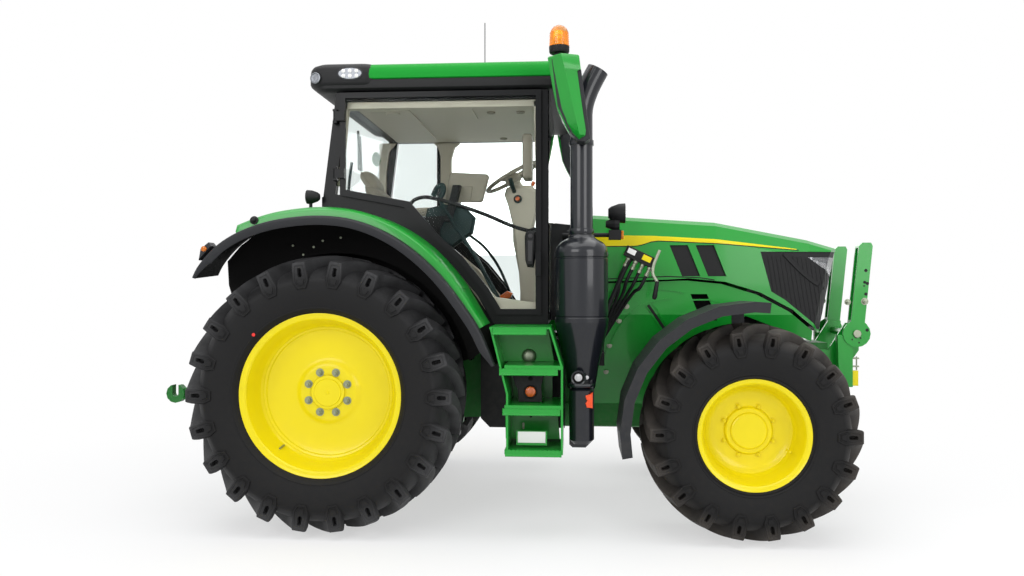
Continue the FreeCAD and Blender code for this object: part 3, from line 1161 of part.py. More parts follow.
def side_panels():
    """Shields with one open slot that close the gap between the hood's edge and the frame rails."""
    top = "hood_low - hood_gap"
    plate = slab("ShieldSheet", "front", [[
        ("-shield_low_half", "frame_top"), ("-shield_low_half - shield_flare", "shield_waist"),
        ("-shield_top_half", "shield_brow"), ("-shield_top_half", "hood_low + hood_gap"),
        ("shield_wall - shield_top_half", "hood_low + hood_gap"),
        ("shield_wall - shield_top_half", "shield_brow"),
        ("shield_wall - shield_low_half - shield_flare", "shield_waist"),
        ("shield_wall - shield_low_half", "frame_top")]], "shield_rear", "shield_front")
    outline = slab("ShieldOutline", "side", [[
        ("shield_rear", "frame_top"), ("shield_knee", "frame_top"), ("arch_front", "shield_arch_z"),
        ("bolster_rear - shield_step", "shield_brow - shield_wall"),
        ("shield_front", "bolster_top + shield_step/3"),
        ("shield_front", "bolster_top + shield_step/3 + shield_nose_drop", "hood_arc_radius"),
        ("hood_arc_x", f"{top} + hood_rise"), ("shield_rear", top)]], "-shield_top_half - shield_wall", "0")
    slot = slab("ShieldSlot", "side", [[
        ("slot_x", "slot_top"), ("slot_x + slot_slant", "slot_low"),
        ("slot_x + slot_slant + slot_wide", "slot_low"), ("slot_x + slot_wide", "slot_top")]],
        "-shield_top_half - shield_wall", "0")
    node("side_panels", both(cut("Shield", common("ShieldForm", plate, outline), slot)))


hood()
cowl()
side_panels()


# What stands on the right side: exhaust, steps, tanks, mirrors, beacon and lamps.

def exhaust():
    """Treatment canister with its foot, and the stack that rises from it."""
    can = drum("Canister", "z", HUB_SIDES, [
        ("can_taper_low", "can_foot_half"), ("can_low", "can_radius"), ("can_top", "can_radius"),
        ("can_neck", "stack_radius + seat_wall")], "stack_x", "-stack_y")
    foot = slab("CanFoot", "side", [[
        ("stack_x - can_foot_half", "can_foot_low"),
        ("stack_x + can_foot_half - can_foot_cut", "can_foot_low"),
        ("stack_x + can_foot_half", "can_foot_low + can_foot_cut"),
        ("stack_x + can_foot_half", "can_taper_low"),
        ("stack_x - can_foot_half", "can_taper_low")]], "-stack_y - can_foot_half",
        "-stack_y + can_foot_half")
    arm = block("CanBracket", ("stack_x - bracket_half", "stack_x + bracket_half"),
                ("-stack_y", "-frame_half"), ("frame_top - 4*bracket_half", "frame_top - 1.5*bracket_half"))
    node("exhaust_housing", fuse("ExhaustHousing", can, foot, arm))
    pipe = drum("Stack", "z", POST_SIDES, [("can_neck", "stack_radius"), ("stack_top", "stack_radius")],
                "stack_x", "-stack_y")
    start = ("stack_x", "-stack_y", "stack_top - stack_radius")
    end = ("stack_x + stack_kick", "-stack_y", "stack_tip")
    past = ("stack_x + stack_kick*1.2", "-stack_y", "stack_tip + (stack_tip - stack_top)*0.2")
    bend = bar("StackTip", "stack_radius*0.8", start, end)
    mouth = bar("StackMouth", "stack_radius*0.8 - seat_wall", ("stack_x + stack_kick/2", "-stack_y",
                "(stack_top + stack_tip)/2"), past)
    node("exhaust_stack", cut("ExhaustStack", fuse("StackSolid", pipe, bend), mouth))


def steps():
    """Step frames each side: two leaning cheeks, a back sheet and three treads."""
    cheek = [
        ("step_rear", "step_top"), ("step_rear + step_lean", "step_top - 400"),
        ("step_rear + step_lean", "step_low"), ("step_rear + step_lean + step_wall", "step_low"),
        ("step_rear + step_lean + step_wall", "step_top - 400"), ("step_rear + step_wall", "step_top")]
    rear = slab("RearCheek", "side", [cheek], "-step_out", "-step_in")
    front = slab("FrontCheek", "side", [[
        ("step_front_top", "step_top"), ("step_front_top - step_wall", "step_top"),
        ("step_front - step_wall", "step_knee"), ("step_front - step_wall", "step_low"),
        ("step_front", "step_low"), ("step_front", "step_knee")]], "-step_out", "-step_in")
    top = block("TopTread", ("step_rear", "step_front_top"), ("-step_out", "-step_in"),
                ("step_top - step_wall", "step_top"))
    back = block("StepBack", ("step_rear + step_lean", "step_front_top"),
                 ("-step_in - step_wall", "-step_in"),
                 ("tread_two", "step_top"))
    treads = [block("Tread", ("step_rear + step_lean - 10", "step_front"), ("-step_out", "-step_in"),
                    (z, f"{z} + 25"))
              for z in ("step_low", "tread_two", "tread_three")]
    stay = block("StepStay", ("step_front - 160", "step_front - 100"), ("-step_in", "-tank_out"),
                 ("tread_three", "tread_three + 60"))
    node("steps", both(fuse("StepFrame", rear, front, top, back, *treads, stay)))


def tank():
    """Fuel tanks below the cab, one each side of the driveline."""
    right = slab("Tank", "side", [[
        ("tank_rear", "tank_low + 60"), ("tank_rear + 60", "tank_low"), ("tank_front", "tank_low"),
        ("tank_front", "tank_top"), ("tank_rear", "tank_top")]], "-tank_out", "-tank_in")
    strap = block("TankStrap", ("front_mount_x", "front_mount_x + mount_long"), ("-tank_in", "-bell_half"),
                  ("bell_low + 30", "bell_low + 90"))
    node("fuel_tank", both(fuse("TankSide", right, strap)))


def mirrors():
    """A tall tapered mirror head each side on its arm from the roof."""
    head = slab("MirrorHead", "side", [[
        ("mirror_x - mirror_nose", "mirror_top"), ("mirror_x + mirror_lean", "mirror_low"),
        ("mirror_x + mirror_lean + mirror_deep", "mirror_low"),
        ("mirror_x + mirror_deep + mirror_half/2", "mirror_top")]],
        "-mirror_y - mirror_half", "mirror_half - mirror_y")
    arm = drum("MirrorArm", "y", BAR_SIDES, [("-mirror_y", "mirror_arm"),
                                             ("-roof_half - seat_gap", "mirror_arm")],
               "mirror_arm_x", z="a_top + eave_wall/2")
    node("mirrors", both(fuse("Mirror", head, arm)))


def beacon():
    """Flashing beacon on its base, on top of the right mirror."""
    spot = ("beacon_x", "-mirror_y", "mirror_top")
    base = drum("BeaconBase", "z", POST_SIDES, [("0", "beacon_radius*0.8"),
                                                ("beacon_base", "beacon_radius*0.8")], *spot)
    dome = drum("BeaconDome", "z", POST_SIDES, [
        ("beacon_base", "beacon_radius"), ("beacon_base + beacon_dome*0.6", "beacon_radius*0.94"),
        ("beacon_base + beacon_dome*0.9", "beacon_radius*0.6"),
        ("beacon_base + beacon_dome", "beacon_radius*0.2")], *spot)
    node("beacon", fuse("Beacon", base, dome))


def lamps():
    """Lamps in the eave, a work lamp on a post on each fender and a marker lens beside the hood."""
    eave = "a_top + eave_wall/2"
    oval = slab("RoofLamp", "side", [[
        ("lamp_x - lamp_long", eave), ("lamp_x - lamp_long/2", f"{eave} - lamp_radius"),
        ("lamp_x + lamp_long/2", f"{eave} - lamp_radius"), ("lamp_x + lamp_long", eave),
        ("lamp_x + lamp_long/2", f"{eave} + lamp_radius"),
        ("lamp_x - lamp_long/2", f"{eave} + lamp_radius")]],
        "-roof_half - lamp_proud", "-roof_half")
    slope = "(fender_radius - fender_out_radius)/(fender_out - cab_half)"
    foot = f"fender_z + fender_radius - (post_in - post_radius)*({slope}) - post_sink"
    spot = ("fender_x", "-cab_half - post_in", foot)
    post = drum("LampPost", "z", BAR_SIDES, [("0", "post_radius"), ("post_tall", "post_radius")], *spot)
    head = drum("PostLamp", "x", POST_SIDES, [
        ("-lamp_deep", "lamp_radius*1.1"), ("-lamp_deep/3", "lamp_radius*1.25"),
        ("lamp_deep/2", "lamp_radius*0.6")],
        spot[0], spot[1], f"{foot} + post_tall")
    marker = block("MarkerLens", ("marker_x", "marker_x + marker_lens"),
                   ("-marker_y - marker_half", "marker_half - marker_y"),
                   ("marker_z - marker_half", "marker_z + marker_half"))
    node("lamps", both(group("LampSide", oval, fuse("FenderLamp", post, head), marker)))


exhaust()
steps()
tank()
mirrors()
beacon()
lamps()


# Rear linkage: lift arms, lift rods, lower links, top link, power take-off and drawbar.

def link_spot(share):
    """A point on the lower link's line, as a share of its length."""
    return (f"link_x + ({share})*(claw_x - link_x)", f"link_z + ({share})*(claw_z - link_z)")


def strap(name, start, end, radius, low, high, holes=()):
    """A flat link between two round ends, seen from the side, with holes."""
    ax, az = start
    bx, bz = end
    span = f"sqrt((({bx}) - ({ax}))^2 + (({bz}) - ({az}))^2)"
    ux = f"((({bx}) - ({ax}))/{span}*({radius}))"
    uz = f"((({bz}) - ({az}))/{span}*({radius}))"
    outline = [
        (f"({ax}) - {uz}", f"({az}) + {ux}", f"({radius})*1.0001"), (f"({ax}) + {uz}", f"({az}) - {ux}"),
        (f"({bx}) + {uz}", f"({bz}) - {ux}", f"({radius})*1.0001"), (f"({bx}) - {uz}", f"({bz}) + {ux}")]
    rings = [("circle", u, v, size) for u, v, size in holes]
    return slab(name, "side", [outline, *rings], low, high)


def rear_linkage():
    """Lift arms on their shaft, rods down to the lower links, and the top link."""
    half = "link_wall/2"
    tip = ("arm_x + lift_arm*cos(lift_angle)", "arm_z + lift_arm*sin(lift_angle)")
    arm = strap("LiftArm", ("arm_x", "arm_z"), tip, "lift_arm_tall/2",
                "-lift_arm_y - lift_arm_wall/2", "-lift_arm_y + lift_arm_wall/2")
    shaft = rod("LiftShaft", "y", "lift_pin", "2*lift_arm_y", "arm_x", "-lift_arm_y", "arm_z")
    node("lift_arms", fuse("LiftArms", arm, mirrored(arm), shaft))
    foot = link_spot("lift_share")
    link = strap("LowerLink", ("link_x", "link_z"), ("claw_x + claw_out", "claw_z"), "link_tall/2",
                 f"-link_y - {half}", f"-link_y + {half}", [("link_x", "link_z", "link_pin + running_gap")])
    low, high = f"-link_y - {half} - claw_wall", f"-link_y + {half} + claw_wall"
    claw = drum("Claw", "y", POST_SIDES, [(low, "claw_out"), (high, "claw_out")], "claw_x", z="claw_z")
    mouth = drum("ClawMouth", "y", POST_SIDES, [(low, "claw_bore"), (high, "claw_bore")], "claw_x",
                 z="claw_z")
    throat = block("ClawThroat", ("claw_x - claw_bore", "claw_x + claw_bore"), (low, high),
                   ("claw_z", "claw_z + claw_out"))
    foot_pin = rod("FootPin", "y", "lift_foot_pin",
                   f"link_y - {half} - lift_rod_y + lift_eye_half + 2*pivot_gap",
                   foot[0], f"{half} - link_y - 2*pivot_gap", foot[1])
    solid = fuse("LinkSolid", link, claw, foot_pin)
    node("lower_link_right", cut("LowerLinkRight", solid, mouth, throat))
    mirrored_node("lower_link_left", nodes["lower_link_right"])
    eye_low, eye_high = "-lift_rod_y - lift_eye_half", "lift_eye_half - lift_rod_y"
    body = bar("LiftRodBar", "lift_rod_radius", (foot[0], "-lift_rod_y", foot[1]),
               (tip[0], "-lift_rod_y", tip[1]))
    eyes = [drum("LiftEye", "y", BAR_SIDES, [(eye_low, "lift_eye"), (eye_high, "lift_eye")], spot[0],
                 z=spot[1])
            for spot in (foot, tip)]
    bores = [rod("LiftEyeBore", "y", "lift_foot_pin + running_gap", f"({eye_high}) - ({eye_low})",
                 spot[0], eye_low, spot[1]) for spot in (foot, tip)]
    node("lift_rod_right", cut("LiftRod", fuse("LiftRodSolid", body, *eyes), *bores))
    mirrored_node("lift_rod_left", nodes["lift_rod_right"])


def top_link():
    """Adjustable top link, stowed pointing up and back from its ears on the gearbox."""
    start = ("top_link_x", "0", "top_link_z")
    end = ("top_link_x - top_link_long*cos(top_link_lean)", "0",
           "top_link_z + top_link_long*sin(top_link_lean)")
    tube = bar("TopLinkTube", "top_link_radius", start, end)
    eyes, bores = [], []
    for spot in (start, end):
        eyes.append(drum("TopEye", "y", BAR_SIDES,
                         [("-top_link_half", "top_link_eye"), ("top_link_half", "top_link_eye")],
                         spot[0], z=spot[2]))
        bores.append(rod("TopBore", "y", "top_link_bore", "2*top_link_half", spot[0], "-top_link_half",
                         spot[2]))
    node("top_link", cut("TopLink", fuse("TopLinkSolid", tube, *eyes), *bores))


rear_linkage()
top_link()


def rear_brackets():
    """Pads on the gearbox for the linkage, the power take-off stub and the drawbar."""
    pto = rod("PtoStub", "x", "pto_radius", "pto_long", "gearbox_rear - pto_long", "0", "pto_z")
    bar_z = ("drawbar_z - drawbar_wall/2", "drawbar_z + drawbar_wall/2")
    bar_body = block("Drawbar", ("drawbar_end", "gearbox_front"), ("-drawbar_half", "drawbar_half"), bar_z)
    hole = rod("DrawbarBore", "z", "drawbar_bore", "drawbar_wall", "drawbar_end + 50", "0", bar_z[0])
    hanger = block("DrawbarHanger", ("hanger_x", "hanger_x + mount_long"), ("-drawbar_half", "drawbar_half"),
                   (bar_z[1], "gearbox_low"))
    node("hitch_bracket", group("HitchBracket", pto,
                                fuse("DrawbarSolid", cut("DrawbarBored", bar_body, hole), hanger)))


rear_brackets()


# Front linkage: side plates on the front support and two link arms folded upright.

def front_hitch():
    """Plates, cross tube and pins that carry the folding link arms."""
    plate = slab("HitchPlate", "side", [[
        ("front_plate_rear", "front_plate_low"), ("bolster_front", "front_plate_low"),
        ("front_link_x + front_boss", "front_link_z - front_link_deep*1.3"),
        ("front_link_x + front_boss", "front_plate_top"),
        ("front_link_x - front_boss", "front_plate_top"), ("bolster_front", "bolster_top - front_boss"),
        ("front_plate_rear", "bolster_top - front_boss")]], "-frame_half - front_plate_wall", "-frame_half")
    tube = drum("HitchTube", "y", BAR_SIDES, [("-frame_half", "front_tube"), ("frame_half", "front_tube")],
                "front_link_x", z="front_link_z")
    reach = "front_link_y + front_link_half + move_gap"
    pins = [rod("LinkPin", "y", "front_pin", f"{reach} - frame_half", "front_link_x", low, "front_link_z")
            for low in (f"-({reach})", "frame_half")]
    node("front_hitch_frame", fuse("HitchFrame", plate, mirrored(plate), tube, *pins))


def front_links():
    """One channel-section link arm each side, with its round plate and hook at the pin."""
    low, high = "-front_link_y - front_link_half", "-front_link_y + front_link_half"
    top_z = "front_link_z + front_link_tall"
    lean, deep, web = "front_link_x + front_lean", "front_link_deep/2", "front_link_web"
    arm = slab("LinkArm", "side", [[
        ("front_link_x - front_boss", "front_link_z"), ("front_link_x + front_boss", "front_link_z"),
        (f"{lean} + {deep}", f"{top_z} - 2*{web}"), (f"{lean} + {deep} - {web}", top_z),
        (f"{lean} - {deep} + 2*{web}", top_z), (f"{lean} - {deep}", f"{top_z} - 2*{web}")]], low, high)
    hollow = slab("LinkHollow", "side", [[
        ("front_link_x - front_boss", "front_link_z + front_boss*2"),
        (f"front_link_x + front_boss - {web}", "front_link_z + front_boss*2"),
        (f"{lean} + {deep} - {web}", f"{top_z} - 3*{web}"),
        (f"{lean} - front_link_deep", f"{top_z} - 3*{web}")]],
        f"{low} + {web}", f"{high} - {web}")
    boss = drum("LinkBoss", "y", POST_SIDES, [(low, "front_boss"), (high, "front_boss")], "front_link_x",
                z="front_link_z")
    plate = drum("LinkPlate", "y", HUB_SIDES, [(low, "front_disc_plate"),
                                               (f"{low} + {web}", "front_disc_plate")],
                 "front_link_x", z="front_link_z")
    hook = slab("LinkHook", "side", [[
        ("front_link_x", "front_link_z - front_boss*1.5"), ("front_link_x + hook_out", "front_link_z"),
        ("front_link_x + hook_out", "front_link_z + hook_tall"),
        ("front_link_x + hook_out - hook_wall", "front_link_z + hook_tall + hook_wall"),
        ("front_link_x + hook_out - hook_wall*1.4", "front_link_z + hook_tall - hook_wall/2"),
        ("front_link_x", "front_link_z + hook_tall - hook_wall/2")]], low, f"{low} + {web}")
    bore = rod("LinkBore", "y", "front_pin + running_gap", "2*front_link_half", "front_link_x", low,
               "front_link_z")
    node("front_link_right", cut("FrontLink", fuse("LinkArmSolid", arm, boss, plate, hook), hollow, bore))
    mirrored_node("front_link_left", nodes["front_link_right"])


def coupler():
    """Valve block for front hoses on its strut beside the hood."""
    foot = block("CouplerFoot", ("coupler_post - coupler_deep", "coupler_post + coupler_deep"),
                 ("-frame_half - coupler_deep", "-frame_half"), ("frame_low + 20", "frame_top - 20"))
    strut = bar("CouplerStrut", "coupler_deep/2", ("coupler_post", "-frame_half - coupler_deep/2",
                                                   "frame_top - 60"),
                ("coupler_x", "-coupler_y", "coupler_z"))
    head = block("CouplerHead", ("coupler_x - coupler_wide/2", "coupler_x + coupler_wide/2"),
                 ("-coupler_y - coupler_deep", "-coupler_y + coupler_deep"),
                 ("coupler_z - coupler_tall/2", "coupler_z + coupler_tall/2"))
    node("hydraulic_block", fuse("HydraulicBlock", foot, strut, head))


front_hitch()
front_links()
coupler()


doc.recompute()
failed = [item.Label for item in doc.Objects if {"Invalid", "Error"} & set(item.State)]
failed += [label for label, item in nodes.items() if item.Shape.isNull() or not item.Shape.isValid()]
if failed:
    raise RuntimeError("These objects failed: " + ", ".join(failed))
os.makedirs("parts", exist_ok=True)
for label, item in nodes.items():
    item.Shape.exportStep(f"parts/{label}.step")
print(len(nodes), "sub-parts written")
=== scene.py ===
# %% [markdown]
# # Dressing a farm tractor
# This lesson takes the tractor's engineering model, which is exact but plain, and gives it the
# surfaces, the small pieces and the light of a white studio. The engineering model is loaded
# first and is never moved: every new piece is placed against it, in metres.

# %% Load the tractor's frame
import math

import bmesh
import bpy
from mathutils import Matrix, Vector
from mathutils.bvhtree import BVHTree


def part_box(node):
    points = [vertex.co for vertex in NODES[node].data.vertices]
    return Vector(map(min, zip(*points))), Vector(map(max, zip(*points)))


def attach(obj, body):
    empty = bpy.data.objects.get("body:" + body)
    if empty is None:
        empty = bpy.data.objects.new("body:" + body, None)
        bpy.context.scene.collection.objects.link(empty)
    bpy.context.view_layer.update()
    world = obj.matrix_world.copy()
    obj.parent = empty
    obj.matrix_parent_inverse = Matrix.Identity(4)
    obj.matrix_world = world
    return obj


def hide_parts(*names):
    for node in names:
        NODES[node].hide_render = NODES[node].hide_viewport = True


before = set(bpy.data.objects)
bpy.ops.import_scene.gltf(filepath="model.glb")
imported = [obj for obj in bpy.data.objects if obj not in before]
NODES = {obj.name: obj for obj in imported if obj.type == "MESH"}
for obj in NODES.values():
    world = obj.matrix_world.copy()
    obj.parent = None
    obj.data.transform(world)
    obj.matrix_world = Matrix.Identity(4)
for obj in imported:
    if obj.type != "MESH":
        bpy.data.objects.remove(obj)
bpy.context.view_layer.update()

# %% [markdown]
# Most sizes on a tractor are read from its rear axle: forwards is +X, the tractor's left is +Y and
# up is +Z. The axle's place comes from the box round the rear rim, so nothing has to be typed in.

# %% Where the axles are
rim_low, rim_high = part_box("rim_rear_right")
REAR_X = (rim_low.x + rim_high.x)/2
front_low, front_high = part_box("rim_front_right")
WHEELBASE = (front_low.x + front_high.x)/2 - REAR_X


def at(x, y, z):
    """A point measured from the ground below the rear axle, in metres."""
    return Vector((REAR_X + x, y, z))


print("rear axle at", round(REAR_X, 3), "wheelbase", round(WHEELBASE, 3))

# %% [markdown]
# Every piece starts as a list of corners and faces. One helper turns them into an object, tells
# which part of the tractor carries it, and smooths the faces that meet at a gentle angle while it
# keeps real corners crisp. That is how a pressed sheet or a casting catches the light.

# %% Make a piece from corners and faces
def piece(name, corners, faces, body, material, slot, crease=32):
    """One closed object: body carries it, slot is not used, crease is in degrees."""
    mesh = bpy.data.meshes.new(name)
    mesh.from_pydata([tuple(corner) for corner in corners], [], faces)
    mesh.update()
    work = bmesh.new()
    work.from_mesh(mesh)
    bmesh.ops.recalc_face_normals(work, faces=work.faces)
    work.to_mesh(mesh)
    work.free()
    mesh.shade_smooth()
    mesh.set_sharp_from_angle(angle=math.radians(crease))
    mesh.materials.append(material)
    made = bpy.data.objects.new(name, mesh)
    bpy.context.scene.collection.objects.link(made)
    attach(made, body)
    return made


print("piece helper ready")

# %% [markdown]
# A finish is a small network of nodes. What several finishes share is a node group: here a fine grain that is
# different at every place, and dust that gathers in patches near the ground. Each material puts in its own
# colours and amounts. One helper adds a node, sets it and links it, so that a network reads as a list of its
# steps.

# %% Shared effects: grain, dust and mottling
def add_node(tree, kind, links=None, values=None, **options):
    """One shader node: options are its own settings, links and values go to its inputs."""
    made = tree.nodes.new("ShaderNode" + kind)
    for label, option in options.items():
        setattr(made, label, option)
    for label, value in (values or {}).items():
        made.inputs[label].default_value = value
    for label, source in (links or {}).items():
        tree.links.new(source, made.inputs[label])
    return made


def node_group(name, ins, outs):
    group = bpy.data.node_groups.new(name, "ShaderNodeTree")
    for label, kind, value in ins:
        socket = group.interface.new_socket(name=label, in_out="INPUT", socket_type=kind)
        socket.default_value = value
    for label, kind in outs:
        group.interface.new_socket(name=label, in_out="OUTPUT", socket_type=kind)
    return group, group.nodes.new("NodeGroupInput").outputs, group.nodes.new("NodeGroupOutput").inputs


def surface_group():
    """Mottles a colour, lays dust on it, and gives the roughness and height of its grain."""
    group, given, result = node_group("SurfaceFilm", [
        ("Colour", "NodeSocketColor", (0.5, 0.5, 0.5, 1)),
        ("Dust Colour", "NodeSocketColor", (0.30, 0.27, 0.22, 1)),
        ("Dust", "NodeSocketFloat", 0.1), ("Mottle", "NodeSocketFloat", 0.1),
        ("Roughness", "NodeSocketFloat", 0.4), ("Grain Scale", "NodeSocketFloat", 400.0)],
        [("Colour", "NodeSocketColor"), ("Roughness", "NodeSocketFloat"), ("Height", "NodeSocketFloat")])
    place = add_node(group, "TexCoord").outputs["Object"]
    broad = add_node(group, "TexNoise", {"Vector": place}, {"Scale": 2.2, "Detail": 4})
    fine = add_node(group, "TexNoise", {"Vector": place}, {"Scale": 26, "Detail": 5})
    grain = add_node(group, "TexNoise", {"Vector": place, "Scale": given["Grain Scale"]})
    height = add_node(group, "SeparateXYZ", {0: place}).outputs["Z"]
    low = add_node(group, "MapRange", {"Value": height}, {"From Min": 1.6, "From Max": 0.0})
    patch = add_node(group, "MapRange", {"Value": fine.outputs["Fac"]}, {"From Min": 0.42, "From Max": 0.70})
    dusty = add_node(group, "Math", {0: patch.outputs[0], 1: low.outputs[0]}, {2: 0.15},
                     operation="MULTIPLY_ADD")
    amount = add_node(group, "Math", {0: dusty.outputs[0], 1: given["Dust"]}, operation="MULTIPLY",
                      use_clamp=True)
    shade = add_node(group, "MapRange", {"Value": broad.outputs["Fac"]}, {"From Min": 0.3, "From Max": 0.7})
    swing = add_node(group, "Math", {0: shade.outputs[0], 1: given["Mottle"]}, operation="MULTIPLY")
    darker = add_node(group, "Mix", data_type="RGBA", blend_type="MULTIPLY")
    darker.inputs["B"].default_value = (0.55, 0.55, 0.55, 1)
    coat = add_node(group, "Mix", data_type="RGBA")
    rough = add_node(group, "Math", {0: amount.outputs[0], 2: given["Roughness"]}, {1: 0.5},
                     operation="MULTIPLY_ADD", use_clamp=True)
    for source, target in (
            (swing.outputs[0], darker.inputs["Factor"]), (given["Colour"], darker.inputs["A"]),
            (amount.outputs[0], coat.inputs["Factor"]), (darker.outputs["Result"], coat.inputs["A"]),
            (given["Dust Colour"], coat.inputs["B"]), (coat.outputs["Result"], result["Colour"]),
            (rough.outputs[0], result["Roughness"]), (grain.outputs["Fac"], result["Height"])):
        group.links.new(source, target)
    return group


SURFACE = surface_group()
print("group", SURFACE.name, "with", len(SURFACE.nodes), "nodes")

# %% [markdown]
# With the group in place, a finish is one call: its colour, how rough it is, how much dust it
# carries, and how deep its grain is. Paint also gets a clear coat, which is set on the shader.

# %% A finish from one call
def finish(name, colour, rough=0.4, dust=0.1, mottle=0.12, grain=400.0, depth=0.02, coat=0.0,
           metal=0.0, dust_colour=(0.30, 0.27, 0.22), sheen=0.0, specular=0.5):
    material = bpy.data.materials.new(name)
    material.use_nodes = True
    tree = material.node_tree
    shader = tree.nodes["Principled BSDF"]
    film = add_node(tree, "Group", node_tree=SURFACE)
    for label, value in (("Colour", (*colour, 1)), ("Dust Colour", (*dust_colour, 1)), ("Dust", dust),
                         ("Mottle", mottle), ("Roughness", rough), ("Grain Scale", grain)):
        film.inputs[label].default_value = value
    bump = add_node(tree, "Bump", {"Height": film.outputs["Height"]},
                    {"Strength": 0.5, "Distance": depth*0.02})
    tree.links.new(film.outputs["Colour"], shader.inputs["Base Color"])
    tree.links.new(film.outputs["Roughness"], shader.inputs["Roughness"])
    tree.links.new(bump.outputs["Normal"], shader.inputs["Normal"])
    for label, value in (("Metallic", metal), ("Coat Weight", coat), ("Coat Roughness", 0.06),
                         ("Sheen Weight", sheen), ("Specular IOR Level", specular)):
        shader.inputs[label].default_value = value
    return material


GREEN = finish("green_enamel", (0.005, 0.290, 0.024), rough=0.30, dust=0.02, coat=0.25,
               depth=0.01, specular=0.4)
GREEN_CAST = finish("green_on_casting", (0.006, 0.165, 0.018), rough=0.45, dust=0.12, grain=160, depth=0.12,
                    specular=0.3)
YELLOW = finish("yellow_enamel", (0.82, 0.68, 0.003), rough=0.34, dust=0.03, mottle=0.10,
                coat=0.2, depth=0.01, dust_colour=(0.40, 0.30, 0.10), specular=0.25)
NUT_METAL = finish("plated_nuts", (0.30, 0.33, 0.25), rough=0.42, dust=0.05, metal=0.8)
BOWL_GREY = finish("lamp_bowl_grey", (0.22, 0.23, 0.25), rough=0.35, dust=0.0, metal=0.6)
# PITCH is the liners' own black and also painted shade in holes, a recess, the arch and the engine bay.
PITCH = finish("liner_and_painted_shade_black", (0.0035, 0.0035, 0.004), rough=0.7, dust=0.05, depth=0.03, specular=0.1)
# BLACK is the mouldings' own black and also painted shadows of grooves, a rib and bored holes.
BLACK = finish("black_moulding_and_painted_shadow", (0.007, 0.0075, 0.0085), rough=0.5, dust=0.05, grain=900, depth=0.05,
               specular=0.22)
SATIN = finish("black_satin_paint", (0.0035, 0.004, 0.005), rough=0.36, dust=0.03, coat=0.05, specular=0.14)
GREY = finish("grey_moulding", (0.020, 0.021, 0.024), rough=0.45, dust=0.05, grain=900, depth=0.05,
              specular=0.22)
ROOF_GREEN = finish("roof_enamel", (0.005, 0.270, 0.024), rough=0.5, dust=0.02, coat=0.0, depth=0.01,
                    specular=0.12)
CREAM = finish("cream_lining", (0.50, 0.45, 0.36), rough=0.6, dust=0.0, grain=700, depth=0.06)
CLOTH = finish("seat_cloth", (0.36, 0.32, 0.25), rough=0.85, dust=0.0, grain=1200, depth=0.3, sheen=0.2)
TAUPE = finish("taupe_moulding", (0.27, 0.235, 0.18), rough=0.5, dust=0.0, grain=900, depth=0.05)
TEAL = finish("dark_teal_moulding", (0.010, 0.028, 0.028), rough=0.45, dust=0.0, grain=900, depth=0.05,
              specular=0.3)
STEEL = finish("bright_steel", (0.62, 0.62, 0.63), rough=0.30, dust=0.05, metal=1.0)
DARK_STEEL = finish("dark_steel", (0.04, 0.04, 0.042), rough=0.45, dust=0.08, metal=0.5, specular=0.3)
STACK = finish("exhaust_enamel", (0.0055, 0.007, 0.011), rough=0.28, dust=0.02, coat=0.45, specular=0.25)
FINS = finish("cooler_core", (0.03, 0.03, 0.032), rough=0.6, dust=0.2, metal=0.3)
CONNECTOR_RED = finish("connector_red", (0.80, 0.075, 0.012), rough=0.4, dust=0.0, mottle=0.05)
RED_PAINT = finish("red_paint", (0.75, 0.02, 0.012), rough=0.45, dust=0.0, mottle=0.05)
ORANGE = finish("orange_reflector", (0.62, 0.11, 0.012), rough=0.25, dust=0.0, mottle=0.1,
                grain=900, depth=0.1, coat=0.5)
WHITE_PLATE = finish("white_plate", (0.80, 0.80, 0.78), rough=0.4, dust=0.0, mottle=0.04)
print("finishes", len(bpy.data.materials))

# %% [markdown]
# Tyres are scuffed and dusty where they touch the ground and near black on their walls. The lighter tread is
# also a painted highlight on the lug tops, and the pits between the lugs stay dark as painted shade. A second
# group gives that mask: how far a place is from the wheel's middle, broken up by noise.

# %% Scuffed tread with a painted highlight
def tread_scuff_and_highlight_group():
    group, given, result = node_group("TreadScuffAndHighlight", [("From", "NodeSocketFloat", 0.8),
                                                    ("To", "NodeSocketFloat", 0.98)],
                                      [("Mask", "NodeSocketFloat")])
    place = add_node(group, "TexCoord").outputs
    offset = add_node(group, "VectorMath", {0: place["Generated"]}, {1: (2, 0, 2), 2: (-1, 0, -1)},
                      operation="MULTIPLY_ADD")
    length = add_node(group, "VectorMath", {0: offset.outputs[0]}, operation="LENGTH")
    reach = add_node(group, "MapRange", {"Value": length.outputs["Value"], "From Min": given["From"],
                                         "From Max": given["To"]})
    noise = add_node(group, "TexNoise", {"Vector": place["Object"]}, {"Scale": 9, "Detail": 6})
    broken = add_node(group, "MapRange", {"Value": noise.outputs["Fac"]},
                      {"From Min": 0.25, "From Max": 0.6, "To Min": 0.35})
    # The mask lightens the outer radius: scuff and dust on the tread, and a painted highlight on the lug tops
    # that leaves the pits as painted shade.
    total = add_node(group, "Math", {0: reach.outputs[0], 1: broken.outputs[0]}, operation="MULTIPLY")
    group.links.new(total.outputs[0], result["Mask"])
    return group


TREAD_SCUFF_AND_HIGHLIGHT = tread_scuff_and_highlight_group()


